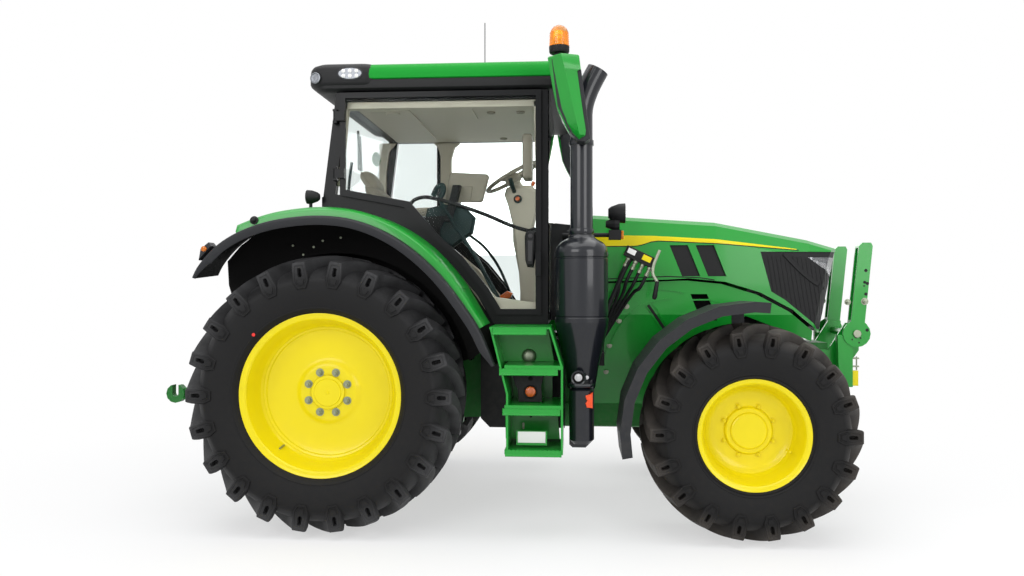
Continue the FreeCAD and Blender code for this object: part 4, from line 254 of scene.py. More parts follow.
def lit_tread_rubber(name, scuff_and_highlight_colour):
    """Rubber that turns to its tread colour towards the tread: scuff and dust, and a painted highlight on the
    lug tops.
    """
    material = finish(name, (0.0055, 0.0055, 0.0060), rough=0.60, dust=0.10, mottle=0.3,
                      grain=220, depth=0.10, dust_colour=(0.040, 0.034, 0.028), specular=0.22)
    tree = material.node_tree
    base = tree.nodes["Principled BSDF"].inputs["Base Color"]
    mask, blend = add_node(tree, "Group", node_tree=TREAD_SCUFF_AND_HIGHLIGHT), add_node(tree, "Mix", data_type="RGBA")
    blend.inputs["B"].default_value = (*scuff_and_highlight_colour, 1)
    tree.links.new(mask.outputs["Mask"], blend.inputs["Factor"])
    tree.links.new(base.links[0].from_socket, blend.inputs["A"])
    tree.links.new(blend.outputs["Result"], base)
    return material


# Tread colours: scuff and dust, and a painted highlight on the lug tops.
REAR_RUBBER = lit_tread_rubber("rear_tyre_rubber", (0.050, 0.050, 0.052))
FRONT_RUBBER = lit_tread_rubber("front_tyre_rubber", (0.058, 0.050, 0.043))
print("tyre rubbers ready")

# %% [markdown]
# Glass is its own kind of finish: it has no colour of its own and lets light through. Cab glass is
# thin and hardly bends light, lamp covers are clear, and the beacon is amber all through.

# %% Glass finishes
def glass(name, colour, rough, clear, ior=1.45):
    material = bpy.data.materials.new(name)
    material.use_nodes = True
    tree = material.node_tree
    shader = tree.nodes["Principled BSDF"]
    noise = add_node(tree, "TexNoise", values={"Scale": 6.0})
    tint = add_node(tree, "Mix", data_type="RGBA")
    tint.inputs["A"].default_value = (*colour, 1)
    tint.inputs["B"].default_value = (*(value*0.94 for value in colour), 1)
    tree.links.new(noise.outputs["Fac"], tint.inputs["Factor"])
    tree.links.new(tint.outputs["Result"], shader.inputs["Base Color"])
    for label, value in (("Roughness", rough), ("IOR", ior), ("Transmission Weight", clear)):
        shader.inputs[label].default_value = value
    return material


PANE = glass("cab_glass", (0.93, 0.97, 0.96), 0.0, 1.0, ior=1.08)
LENS = glass("lamp_cover", (0.95, 0.97, 1.0), 0.03, 0.9)
AMBER = glass("amber_cover", (1.0, 0.32, 0.01), 0.12, 0.6)
REFLECTOR = finish("bright_bowl", (0.80, 0.81, 0.82), rough=0.12, dust=0.0, mottle=0.05, depth=0.0, metal=1.0)
print("glass made")

# %% [markdown]
# The engineering nodes keep their shapes and take these finishes. The list goes by finish, because
# the same paint or casting comes back on many parts.

# %% Dress the engineering nodes
DRESS = (
    (REAR_RUBBER, "tyre_rear_right tyre_rear_left tyre_front_right tyre_front_left"),
    (YELLOW, "rim_rear_right rim_rear_left rim_front_right rim_front_left"),
    (GREEN_CAST, "transmission engine_block frame_rails front_axle knuckle_right knuckle_left "
                 "lower_link_right lower_link_left top_link"),
    (GREEN, "rear_fenders hood side_panels steps mirrors front_hitch_frame front_link_right front_link_left"),
    (ROOF_GREEN, "cab_roof"),
    (GREY, "front_fender_right front_fender_left fender_flares"),
    (BLACK, "roof_trim console steering_column hood_grille cowl fuel_tank hydraulic_block"),
    (SATIN, "cab_frame door_right_frame door_left_frame"),
    (PANE, "cab_glass door_right_glass door_left_glass"),
    (CREAM, "cab_floor headliner"),
    (CLOTH, "seat"),
    (LENS, "headlights lamps"),
    (AMBER, "beacon"),
    (STACK, "exhaust_housing exhaust_stack"),
    (DARK_STEEL, "lift_arms lift_rod_right lift_rod_left hitch_bracket"),
    (STEEL, "steering_rod"),
    (FINS, "cooling_pack"),
)
for material, labels in DRESS:
    for label in labels.split():
        NODES[label].data.materials.clear()
        NODES[label].data.materials.append(material)
print("dressed", sum(len(labels.split()) for _, labels in DRESS), "of", len(NODES))

# %% [markdown]
# The engineering model draws its arcs as short flats, to keep it light. This modifier only changes
# the shading: faces that meet at a gentle angle are smoothed, and real corners stay sharp.

# %% Smooth the flat-sided arcs
def smoothing_modifier(limit):
    """A geometry group that shades smooth, except at edges steeper than the limit in degrees."""
    group = bpy.data.node_groups.new("SmoothGently", "GeometryNodeTree")
    for in_out in ("INPUT", "OUTPUT"):
        group.interface.new_socket(name="Geometry", in_out=in_out, socket_type="NodeSocketGeometry")
    add, link = group.nodes.new, group.links.new
    entry, leave = add("NodeGroupInput"), add("NodeGroupOutput")
    angle, steep = add("GeometryNodeInputMeshEdgeAngle"), add("FunctionNodeCompare")
    steep.data_type, steep.operation = "FLOAT", "LESS_THAN"
    steep.inputs[1].default_value = math.radians(limit)
    link(angle.outputs["Unsigned Angle"], steep.inputs[0])
    faces, edges = add("GeometryNodeSetShadeSmooth"), add("GeometryNodeSetShadeSmooth")
    faces.domain, edges.domain = "FACE", "EDGE"
    link(entry.outputs[0], faces.inputs["Geometry"])
    link(faces.outputs[0], edges.inputs["Geometry"])
    link(steep.outputs[0], edges.inputs["Shade Smooth"])
    link(edges.outputs[0], leave.inputs[0])
    return group


GENTLE = smoothing_modifier(32)
for made in NODES.values():
    made.modifiers.new("smooth gently", "NODES").node_group = GENTLE
print("smoothed", len(NODES), "nodes")

# %% [markdown]
# The engineering model draws its arcs as short flats, to keep it light. This modifier only changes
# the shading: faces that meet at a gentle angle are smoothed, and real corners stay sharp.

# %% Smooth the flat-sided arcs
def smoothing_modifier(limit):
    """A geometry group that shades smooth, except at edges steeper than the limit in degrees."""
    group = bpy.data.node_groups.new("SmoothGently", "GeometryNodeTree")
    for in_out in ("INPUT", "OUTPUT"):
        group.interface.new_socket(name="Geometry", in_out=in_out, socket_type="NodeSocketGeometry")
    add, link = group.nodes.new, group.links.new
    entry, leave = add("NodeGroupInput"), add("NodeGroupOutput")
    angle, steep = add("GeometryNodeInputMeshEdgeAngle"), add("FunctionNodeCompare")
    steep.data_type, steep.operation = "FLOAT", "LESS_THAN"
    steep.inputs[1].default_value = math.radians(limit)
    link(angle.outputs["Unsigned Angle"], steep.inputs[0])
    faces, edges = add("GeometryNodeSetShadeSmooth"), add("GeometryNodeSetShadeSmooth")
    faces.domain, edges.domain = "FACE", "EDGE"
    link(entry.outputs[0], faces.inputs["Geometry"])
    link(faces.outputs[0], edges.inputs["Geometry"])
    link(steep.outputs[0], edges.inputs["Shade Smooth"])
    link(edges.outputs[0], leave.inputs[0])
    return group


GENTLE = smoothing_modifier(32)
for made in NODES.values():
    made.modifiers.new("smooth gently", "NODES").node_group = GENTLE
print("smoothed", len(NODES), "nodes")

# %% [markdown]
# Four shapes make most of the small pieces: a turned form like one from a lathe, a bar or pipe that
# follows a line, a flat plate with softened edges, and a hexagon bolt. Each gives corners and faces,
# so that many of them can be joined in one piece.

# %% Turned forms
TO_RIGHT = (0, -1, 0)
AXES = {"x": (Vector((0, 1, 0)), Vector((0, 0, 1)), Vector((1, 0, 0))),
        "y": (Vector((0, 0, 1)), Vector((1, 0, 0)), Vector((0, 1, 0))),
        "z": (Vector((1, 0, 0)), Vector((0, 1, 0)), Vector((0, 0, 1)))}


def upright(direction):
    """Two directions square to a given one, and that one itself, all of length 1."""
    along = Vector(direction).normalized()
    helper = Vector((0, 0, 1)) if abs(along.z) < 0.9 else Vector((1, 0, 0))
    first = along.cross(helper).normalized()
    return first, along.cross(first), along


def lathe(profile, centre, axis, steps=48):
    """A turned form: profile is a chain of (distance along the axis, radius)."""
    first, second, along = AXES[axis] if isinstance(axis, str) else upright(axis)
    corners, faces, rows = [], [], []
    for far, radius in profile:
        if radius < 1e-6:
            rows.append([len(corners)]*steps)
            corners.append(centre + along*far)
            continue
        rows.append(list(range(len(corners), len(corners) + steps)))
        for step in range(steps):
            turn = 2*math.pi*step/steps
            corners.append(centre + along*far + (first*math.cos(turn) + second*math.sin(turn))*radius)
    for row, above in zip(rows, rows[1:]):
        for step in range(steps):
            after = (step + 1) % steps
            face = [row[step], row[after], above[after], above[step]]
            faces.append(tuple(dict.fromkeys(face)))
    return corners, [face for face in faces if len(face) > 2]


print("lathe ready")

# %% [markdown]
# Hoses, rails and handles are bent bars. A ring of corners travels along a line of points and keeps
# its twist. A curve object could do this too, but corners and faces are easier to join.

# %% Pipes and bars
def pipe(points, radius, steps=10, closed=False, flat=1.0):
    """A round pipe along a line of points; flat squeezes it to an oval."""
    points = [Vector(point) for point in points]
    corners, faces = [], []
    count = len(points)
    normal = None
    for spot, point in enumerate(points):
        before = points[spot - 1] if spot or closed else point
        after = points[(spot + 1) % count] if spot < count - 1 or closed else point
        along = (after - before).normalized()
        if normal is None:
            normal = upright(along)[0]
        normal = (normal - along*normal.dot(along)).normalized()
        across = along.cross(normal)
        for step in range(steps):
            turn = 2*math.pi*step/steps
            corners.append(point + (normal*math.cos(turn) + across*math.sin(turn)*flat)*radius)
    for spot in range(count if closed else count - 1):
        here, there = spot*steps, (spot + 1) % count*steps
        for step in range(steps):
            after = (step + 1) % steps
            faces.append((here + step, here + after, there + after, there + step))
    if not closed:
        faces += [tuple(range(steps)), tuple(range((count - 1)*steps, count*steps))]
    return corners, faces


def curved(points, share=0.35, steps=5):
    """The same line with its inner corners rounded."""
    points = [Vector(point) for point in points]
    line = [points[0]]
    for before, point, after in zip(points, points[1:], points[2:]):
        start, end = point.lerp(before, share), point.lerp(after, share)
        for step in range(steps + 1):
            part = step/steps
            line.append(start.lerp(point, part).lerp(point.lerp(end, part), part))
    return line + [points[-1]]


print("pipes ready")

# %% [markdown]
# Flame-cut and moulded parts are plates. Their rims are drawn in a little, because no real edge is
# quite sharp and the small slope catches the light. A box is a plate with a rounded outline.

# %% Plates and softened boxes
ORDERS = {"x": (1, 2, 0), "y": (0, 2, 1), "z": (0, 1, 2)}


def plate(outline, low, high, axis="y", soft=0.0):
    """A flat plate: its outline in the two other directions, and where it starts and ends."""
    order = ORDERS[axis]
    rings = [(low, 0), (high, 0)]
    if soft:
        rings = [(low, soft), (low + soft, 0.0), (high - soft, 0.0), (high, soft)]
    middle = sum((Vector(spot) for spot in outline), Vector((0, 0)))/len(outline)
    corners, faces = [], []
    for level, inset in rings:
        for spot in outline:
            pull = middle - Vector(spot)
            moved = Vector(spot) + pull*min(1.0, inset/max(pull.length, 1e-6))
            corner = [0.0, 0.0, 0.0]
            corner[order[0]], corner[order[1]], corner[order[2]] = moved.x, moved.y, level
            corners.append(Vector(corner))
    count = len(outline)
    for ring in range(len(rings) - 1):
        for spot in range(count):
            after = (spot + 1) % count
            faces.append((ring*count + spot, ring*count + after, (ring + 1)*count + after,
                          (ring + 1)*count + spot))
    faces += [tuple(range(count - 1, -1, -1)), tuple(range((len(rings) - 1)*count, len(rings)*count))]
    return corners, faces


def soft_box(low, high, radius=0.006, axis="y"):
    """A box with rounded upright edges and softened rims."""
    order = ORDERS[axis]
    u0, u1 = sorted((low[order[0]], high[order[0]]))
    v0, v1 = sorted((low[order[1]], high[order[1]]))
    w0, w1 = sorted((low[order[2]], high[order[2]]))
    outline = []
    for u, v, quarter in ((u1 - radius, v1 - radius, 0), (u0 + radius, v1 - radius, 1),
                          (u0 + radius, v0 + radius, 2), (u1 - radius, v0 + radius, 3)):
        for step in range(4):
            turn = math.pi/2*(quarter + step/3)
            outline.append((u + radius*math.cos(turn), v + radius*math.sin(turn)))
    return plate(outline, w0, w1, axis, soft=min(radius*0.5, (w1 - w0)/4))


def side_plate(points, y0, y1, soft=0.008):
    """A plate cut in side view, from (x, z) points measured from below the rear axle."""
    return plate([(REAR_X + x, z) for x, z in points], y0, y1, "y", soft=soft)


print("plates ready")

# %% [markdown]
# A bolt's head is a short hexagon on its washer, with the end of the stud above it. It has few
# corners, so dozens of them cost little and still cast their small shadows.

# %% Bolts and nuts
def bolt(spot, axis, size, tall=None, washer=True, stud=0.0):
    """A hexagon head on its washer, pointing along the axis; size is its width across corners."""
    tall = tall or size*0.45
    first, second, along = AXES[axis] if isinstance(axis, str) else upright(axis)
    spot = Vector(spot)
    parts = []
    base = 0.0
    if washer:
        parts.append(lathe([(0, 0), (0, size*0.72), (size*0.08, size*0.72), (size*0.08, 0)], spot, axis, 16))
        base = size*0.08
    corners, faces = [], []
    for far, share in ((base, 0.5), (base + tall*0.88, 0.5), (base + tall, 0.43)):
        for step in range(6):
            turn = math.pi/3*step
            corners.append(spot + along*far + (first*math.cos(turn) + second*math.sin(turn))*size*share)
    for ring in range(2):
        for step in range(6):
            after = (step + 1) % 6
            faces.append((ring*6 + step, ring*6 + after, (ring + 1)*6 + after, (ring + 1)*6 + step))
    faces += [tuple(range(6)), tuple(range(12, 18))]
    parts.append((corners, faces))
    if stud:
        parts.append(lathe([(0, 0), (0, size*0.26), (base + tall + stud, size*0.26),
                            (base + tall + stud*1.15, size*0.2), (base + tall + stud*1.15, 0)],
                           spot, axis, 12))
    return join(parts)


def join(parts):
    """Several (corners, faces) lists as one."""
    corners, faces = [], []
    for more_corners, more_faces in parts:
        base = len(corners)
        corners += more_corners
        faces += [tuple(base + index for index in face) for face in more_faces]
    return corners, faces


print("bolts ready")

# %% [markdown]
# Most pieces come in a right and a left one. The first helper flips the corners across the middle of
# the tractor, and turns the faces over so that they still look outwards. The last one joins the
# parts of a right side, adds their mirror images and makes one piece of them all.

# %% Mirror a shape
def flipped(shape):
    corners, faces = shape
    return [Vector((corner.x, -corner.y, corner.z)) for corner in corners], [face[::-1] for face in faces]


def both_sides(shape):
    return join([shape, flipped(shape)])


def pair(name, parts, body, material, slot):
    """One piece from parts made for the right side and their mirror images on the left."""
    return piece(name, *both_sides(join(parts)), body, material, slot)


print("mirror helpers ready")

# %% [markdown]
# A farm tyre is a smooth round carcass that carries bars of rubber called lugs. They are made one
# after another round the wheel. Each starts at the shoulder and leans forward to the middle, the
# two sides are half a step apart, and at the shoulder each ends in a six-cornered face with a pit.

# %% The tyre's carcass
FULL_RADIUS = 0.865


def carcass(half, radius, bead, bead_half):
    """Half of the tyre's outline, from its bead round the shoulder to the middle of the tread."""
    scale = (radius/FULL_RADIUS)**0.3
    wall = radius - 0.150*scale - bead
    side = [(bead_half*0.55, bead), (bead_half, bead), (bead_half + 0.012, bead + 0.010),
            (half*0.900, bead + wall*0.10), (half*0.925, bead + wall*0.15), (half*0.925, bead + wall*0.17),
            (half*0.918, bead + wall*0.18), (half*0.945, bead + wall*0.36), (half*0.966, bead + wall*0.58),
            (half*0.972, bead + wall*0.74), (half*0.970, bead + wall*0.86), (half*0.962, bead + wall*0.97)]
    tread = [(0.945, 0.148), (0.915, 0.138), (0.86, 0.122), (0.78, 0.105), (0.66, 0.088), (0.45, 0.071),
             (0.2, 0.061), (0.0, 0.058)]
    return side + [(half*share, radius - drop*scale) for share, drop in tread]


print("carcass points", len(carcass(0.3, 0.865, 0.5, 0.245)))

# %% [markdown]
# One lug is a chain of eight-cornered sections. At the middle it is narrow, towards the shoulder it
# widens, and its last sections fold down over the shoulder to make the flat end. The corners follow
# the round of the wheel, so the lug's top is as curved as the tyre.

# %% One lug
LUG_STEPS = 8
LUG_ENDS = (
    # share of the half width, then (half width, depth below the full radius) from foot to tip
    (0.935, ((0.056, 0.180), (0.064, 0.148), (0.047, 0.050), (0.042, 0.041))),
    (0.985, ((0.038, 0.204), (0.060, 0.156), (0.043, 0.052), (0.038, 0.044))),
    (0.999, ((0.034, 0.201), (0.056, 0.156), (0.039, 0.058), (0.034, 0.050))),
    (0.998, ((0.027, 0.193), (0.047, 0.154), (0.030, 0.066), (0.025, 0.060))),
    (0.980, ((0.024, 0.188), (0.042, 0.153), (0.026, 0.072), (0.021, 0.066))),
    (0.980, ((0.009, 0.134), (0.016, 0.122), (0.013, 0.084), (0.009, 0.078))),
    (0.850, ((0.004, 0.128), (0.009, 0.118), (0.008, 0.092), (0.005, 0.088))),
)


def lug(centre, half, radius, pitch, start, side):
    """One lug: side is +1 or -1 for the half of the tread, start its angle at the shoulder."""
    scale = (radius/FULL_RADIUS)**0.3
    rows = []

    def row(y, along, points):
        """One section: points are (half width along the tread, radius) from foot to tip."""
        ring = [(-width, height) for width, height in points]
        ring += [(width, height) for width, height in points[::-1]]
        rows.append([(y, start + (along + width)/radius, height) for width, height in ring])

    for step in range(LUG_STEPS + 1):
        share = 1 - step/LUG_STEPS
        y = half*(0.02 + 0.88*(1 - share))
        along = pitch*(0.48*share + 0.50*share**2)
        width = (0.026 + 0.020*(1 - share))*scale
        tip = radius - 0.040*scale*(1 - share)**2
        floor = radius - (0.072 + 0.078*(1 - share)**2)*scale
        row(y, along, [(width + 0.022*scale, floor), (width + 0.010*scale, tip - 0.032*scale),
                       (width + 0.001, tip - 0.006), (width - 0.005, tip)])
    for share, points in LUG_ENDS:
        row(half*share, 0.0, [(width*scale, radius - drop*scale) for width, drop in points])
    corners = [centre + Vector((height*math.sin(turn), side*y, height*math.cos(turn)))
               for ring in rows for y, turn, height in ring]
    faces = [(a*8 + spot, a*8 + (spot + 1) % 8, (a + 1)*8 + (spot + 1) % 8, (a + 1)*8 + spot)
             for a in range(len(rows) - 1) for spot in range(8)]
    last = (len(rows) - 1)*8
    faces += [tuple(range(7, -1, -1)), tuple(range(last, last + 8))]
    badge = [(share, width, drop) for share, grow in ((0.979, 1.0), (0.995, 0.82))
             for width, drop in ((-0.018*grow, 0.180), (-0.032*grow, 0.150), (0.032*grow, 0.150),
                                 (0.018*grow, 0.180))]
    base = len(corners)
    for share, width, drop in badge:
        turn, height = start + width*scale/radius, radius - drop*scale
        corners.append(centre + Vector((height*math.sin(turn), side*half*share, height*math.cos(turn))))
    faces += [(base + spot, base + (spot + 1) % 4, base + 4 + (spot + 1) % 4, base + 4 + spot)
              for spot in range(4)]
    faces += [(base + 3, base + 2, base + 1, base), (base + 4, base + 5, base + 6, base + 7)]
    return corners, faces


print("lug sections", LUG_STEPS + 1 + len(LUG_ENDS))

# %% [markdown]
# All lugs and the carcass are joined in one mesh per tyre. The rear tyre carries twenty-two lugs on
# each side, the smaller front tyre eighteen.

# %% Build the four tyres
TYRE_RADIUS, RIM_GROWTH = {}, {"rear": 1.015, "front": 1.045}
for end in ("rear", "front"):
    low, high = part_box(f"tyre_{end}_right")
    TYRE_RADIUS[end] = (high.x - low.x)/2


def tyre(label, body, count):
    """One tyre of so many lugs on each side, on the wheel that the body names."""
    low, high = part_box("tyre_" + label)
    rim_start, rim_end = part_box("rim_" + label)
    end = label.split("_")[0]
    centre, half, radius = (low + high)/2, (high.y - low.y)/2, TYRE_RADIUS[end]
    bead = (rim_end.x - rim_start.x)/2*RIM_GROWTH[end] - 0.004
    bead_half = (rim_end.y - rim_start.y)/2
    profile = carcass(half, radius, bead, bead_half)
    whole = [(-side, r) for side, r in profile] + [(side, r) for side, r in profile[-2::-1]]
    parts = [lathe(whole, centre, "y", 144)]
    pitch = 2*math.pi*radius/count
    for index in range(count):
        for side, shift in ((1, 0.0), (-1, 0.5)):
            parts.append(lug(centre, half, radius - 0.001, pitch, 2*math.pi*(index + shift)/count, side))
    rubber = REAR_RUBBER if label.startswith("rear") else FRONT_RUBBER
    made = piece("tread_" + label, *join(parts), body, rubber, "tyre", crease=30)
    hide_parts("tyre_" + label)
    print("tyre", label, len(made.data.polygons), "faces")


for end, count in (("rear", 22), ("front", 18)):
    for side in ("right", "left"):
        tyre(f"{end}_{side}", f"{end}_wheel_{side}", count)

# %% [markdown]
# The factory marks the lightest spot of each rear tyre with a dab of red paint. It is a thin disc
# that stands a hair off the rubber.

# %% Balance marks
marks = []
for side, outwards in (("right", -1), ("left", 1)):
    low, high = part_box("tyre_rear_" + side)
    spot = (low + high)/2 + Vector((-0.395, outwards*0.2845, 0.372))
    marks.append(piece(f"balance_mark_{side}", *lathe([(0, 0.011), (0.0016, 0.010), (0.002, 0)], spot,
                                                      (0, outwards, 0), 20),
                       f"rear_wheel_{side}", RED_PAINT, "tyre"))
print("marks", len(marks))

# %% [markdown]
# A wheel's rim is pressed and rolled from sheet, so its whole shape is one outline turned about the
# axle: a rounded flange, a broad bright band, a double step, a shallow dish and a raised hub. The
# outline goes once round the section, from the hub's middle over the flange to the back.

# %% Rims
def whole_rim(front, lip, back, growth):
    """The front of the section, its lip, the same lip mirrored for the far flange, and the back."""
    return [(far, radius*growth)
            for far, radius in front + lip + [(-far, radius) for far, radius in lip[::-1]] + back]


def rear_rim_outline():
    front = [(0.086, 0.0), (0.086, 0.009), (0.082, 0.012), (0.082, 0.082), (0.078, 0.086), (0.075, 0.087),
             (0.075, 0.100), (0.072, 0.105), (0.060, 0.108), (0.060, 0.112), (0.062, 0.116), (0.062, 0.160),
             (0.059, 0.174), (0.052, 0.186), (0.044, 0.200), (0.041, 0.215), (0.044, 0.300), (0.052, 0.370),
             (0.058, 0.386), (0.066, 0.392), (0.068, 0.398), (0.070, 0.404), (0.080, 0.411), (0.086, 0.418),
             (0.096, 0.424), (0.150, 0.437), (0.212, 0.452)]
    lip = [(0.228, 0.457), (0.236, 0.464), (0.238, 0.474), (0.240, 0.486), (0.244, 0.494), (0.243, 0.499),
           (0.236, 0.4995), (0.220, 0.495)]
    back = [(-0.236, 0.462), (-0.200, 0.450), (-0.060, 0.436), (0.010, 0.420), (0.026, 0.400), (0.026, 0.210),
            (0.022, 0.190), (0.022, 0.051), (0.052, 0.051), (0.052, 0.0)]
    return whole_rim(front, lip, back, RIM_GROWTH["rear"])


def front_rim_outline():
    front = [(0.078, 0.0), (0.078, 0.096), (0.074, 0.103), (0.066, 0.106), (0.062, 0.108), (0.062, 0.128),
             (0.058, 0.134), (0.046, 0.137), (0.041, 0.142), (0.041, 0.178), (0.044, 0.205), (0.056, 0.232),
             (0.064, 0.240), (0.068, 0.246), (0.080, 0.250), (0.088, 0.257), (0.100, 0.262), (0.150, 0.271),
             (0.205, 0.283)]
    lip = [(0.219, 0.288), (0.226, 0.295), (0.228, 0.303), (0.231, 0.312), (0.2345, 0.317), (0.234, 0.321),
           (0.227, 0.3215), (0.212, 0.318)]
    back = [(-0.226, 0.292), (-0.190, 0.282), (-0.060, 0.270), (0.012, 0.258), (0.028, 0.240), (0.028, 0.150),
            (0.024, 0.140), (0.024, 0.035), (0.052, 0.035), (0.052, 0.0)]
    return whole_rim(front, lip, back, RIM_GROWTH["front"])


NUTS = 8


def wheel_fittings(centre, outwards, face, ring, nut, valve):
    """Nuts on their washers round the hub, and the valve's stem beside the flange."""
    parts = []
    for index in range(NUTS):
        angle = 2*math.pi*(index + 0.5)/NUTS
        spot = centre + Vector((math.sin(angle)*ring, outwards*face, math.cos(angle)*ring))
        parts.append(bolt(spot, (0, outwards, 0), nut, tall=nut*0.55, stud=nut*0.35))
    stem = centre + Vector((valve[0], outwards*0.10, valve[1]))
    reach = stem + Vector((valve[0]*0.03, outwards*0.055, valve[1]*0.03))
    parts.append(pipe([stem, stem.lerp(reach, 0.6), reach], 0.0065, 10))
    return join(parts)


for end, outline, face, ring, nut, valve, metal, slot in (
        ("rear", rear_rim_outline(), 0.0625, 0.134, 0.036, (-0.270, -0.330), NUT_METAL, "bright_steel"),
        ("front", front_rim_outline(), 0.0415, 0.158, 0.026, (0.215, -0.105), YELLOW, "rim_yellow")):
    for side, outwards in (("right", -1), ("left", 1)):
        label = f"rim_{end}_{side}"
        low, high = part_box(label)
        centre = (low + high)/2
        turned = lathe(outline, centre, (0, outwards, 0), 96)
        made = piece(f"wheel_{end}_{side}", *turned, f"{end}_wheel_{side}", YELLOW, "rim_yellow", crease=24)
        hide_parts(label)
        nuts = wheel_fittings(centre, outwards, face, ring, nut, valve)
        piece(f"wheel_nuts_{end}_{side}", *nuts, f"{end}_wheel_{side}", metal, slot)
print("rims and nuts made")

# %% [markdown]
# The exhaust canister is rolled sheet with a drawn shoulder at each end, and the stack above it is a
# pipe with its tip cut on a slant. Both are turned forms; bands and pressed grooves break them up.

# %% Exhaust canister and stack
can_low, can_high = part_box("exhaust_housing")
STACK_SPOT = Vector(((can_low.x + can_high.x)/2, can_low.y + (can_high.x - can_low.x)/2, 0))


def canister():
    x, y = STACK_SPOT.x, STACK_SPOT.y
    outline = [(0.880, 0.0), (0.880, 0.060), (0.900, 0.084), (1.060, 0.110), (1.200, 0.142), (1.265, 0.157),
               (1.300, 0.163), (1.330, 0.164), (1.336, 0.1635), (1.340, 0.160), (1.346, 0.160),
               (1.350, 0.164), (1.500, 0.164), (1.700, 0.164), (1.704, 0.160), (1.710, 0.160), (1.714, 0.164),
               (1.745, 0.163), (1.775, 0.156), (1.805, 0.130), (1.822, 0.098), (1.834, 0.084),
               (1.850, 0.078), (1.850, 0.0)]
    parts = [lathe(outline, STACK_SPOT, "z", 64)]
    foot = [(x - 0.076, 0.560), (x - 0.056, 0.542), (x + 0.024, 0.542), (x + 0.076, 0.594),
            (x + 0.076, 0.905), (x + 0.066, 0.960), (x - 0.066, 0.960), (x - 0.076, 0.905)]
    parts.append(plate(foot, y - 0.076, y + 0.076, "y", soft=0.008))
    parts.append(soft_box((x - 0.03, y, 0.582), (x + 0.03, -0.19, 0.652), 0.010, "y"))
    for height in (1.322, 1.727):
        parts.append(lathe([(height - 0.012, 0.160), (height - 0.012, 0.166), (height + 0.012, 0.166),
                            (height + 0.012, 0.160)], STACK_SPOT, "z", 64))
    parts.append(lathe([(0, 0.030), (0.004, 0.034), (0.010, 0.034), (0.012, 0.026),
                        (0.004, 0.022), (0.004, 0)],
                       Vector((x + 0.010, y - 0.077, 0.700)), TO_RIGHT, 32))
    return join(parts)


made = piece("treatment_canister", *canister(), "chassis", STACK, "dark_paint", crease=30)
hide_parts("exhaust_housing")


def exhaust_pipe():
    x, y = STACK_SPOT.x, STACK_SPOT.y
    straight = [Vector((x, y, 1.852)), Vector((x, y, 2.30)), Vector((x, y, 2.560))]
    bend = curved([straight[-1], Vector((x, y, 2.690)), Vector((x + 0.100, y, 2.872))], 0.75, 7)
    line = straight[:-1] + bend
    outer = pipe(line, 0.070, 40)
    parts = [(outer[0], outer[1][:-2])]
    inner = pipe(line[-4:], 0.064, 40)
    parts.append((inner[0], inner[1][:-1]))
    direction = (line[-1] - line[-2]).normalized()
    parts.append(lathe([(0, 0.064), (0.003, 0.0665), (0.003, 0.0685), (0, 0.070)], line[-1],
                       tuple(direction), 40))
    for height in (1.872, 2.420):
        parts.append(lathe([(height - 0.016, 0.069), (height - 0.016, 0.0755), (height - 0.013, 0.077),
                            (height + 0.013, 0.077), (height + 0.016, 0.0755), (height + 0.016, 0.069)],
                           STACK_SPOT, "z", 40))
        parts.append(bolt((x - 0.079, y - 0.02, height), (-1, 0, 0), 0.016))
    return join(parts)


made = piece("exhaust_pipe", *exhaust_pipe(), "chassis", STACK, "stack_metal", crease=30)
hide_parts("exhaust_stack")
foot_y = STACK_SPOT.y - 0.155
foot = [soft_box(at(1.517, foot_y, 0.572), at(1.658, STACK_SPOT.y - 0.02, 0.922), 0.048, "z"),
        soft_box(at(1.511, foot_y - 0.005, 0.918), at(1.664, STACK_SPOT.y - 0.02, 0.938), 0.050, "z"),
        lathe([(0, 0.036), (0.010, 0.047), (0.018, 0.044), (0.014, 0.036), (0.002, 0.034)],
              at(1.570, foot_y + 0.030, 0.976), TO_RIGHT, 32)]
piece("canister_foot", *join(foot), "chassis", STACK, "dark_paint")
# Painted shade: a shallow black cup stands for the shade inside the round recess round the bolt.
recess_shadow = lathe([(0, 0), (0.004, 0.040), (0.010, 0.040), (0.006, 0.020), (0.006, 0)],
               at(1.570, foot_y + 0.030, 0.976), TO_RIGHT, 32)
piece("canister_recess", *recess_shadow, "chassis", PITCH, "black_plastic")
piece("canister_bolt", *join([bolt(at(1.570, foot_y + 0.024, 0.978), TO_RIGHT, 0.032),
                              bolt(at(1.622, foot_y + 0.030, 0.978), TO_RIGHT, 0.016)]),
      "chassis", STEEL, "bright_steel")
print("exhaust made")

# %% [markdown]
# The beacon is a ribbed amber dome on a black foot. The work lamps have a round black housing, a
# bright bowl and a clear face, and the rear pair sits on short posts. Each lamp is one turned outline
# per material.

# %% Beacon and lamps
beacon_low, beacon_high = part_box("beacon")
BEACON_SPOT = Vector(((beacon_low.x + beacon_high.x)/2, (beacon_low.y + beacon_high.y)/2, beacon_low.z))
dome = [(0.052, 0.0), (0.052, 0.060), (0.056, 0.0615)]
for rib in range(6):
    base = 0.058 + rib*0.012
    dome += [(base, 0.0615 - rib*0.0006), (base + 0.005, 0.0600 - rib*0.0006),
             (base + 0.010, 0.0615 - rib*0.0006)]
dome += [(0.138, 0.055), (0.154, 0.048), (0.167, 0.037), (0.176, 0.022), (0.183, 0.0)]
made = piece("beacon_dome", *lathe(dome, BEACON_SPOT, "z", 48), "chassis", AMBER, "amber", crease=50)
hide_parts("beacon")
foot = lathe([(0, 0), (0, 0.030), (0.008, 0.032), (0.012, 0.056), (0.020, 0.0605),
              (0.051, 0.0615), (0.051, 0)],
             BEACON_SPOT, "z", 40)
piece("beacon_foot", *foot, "chassis", BLACK, "black_plastic")
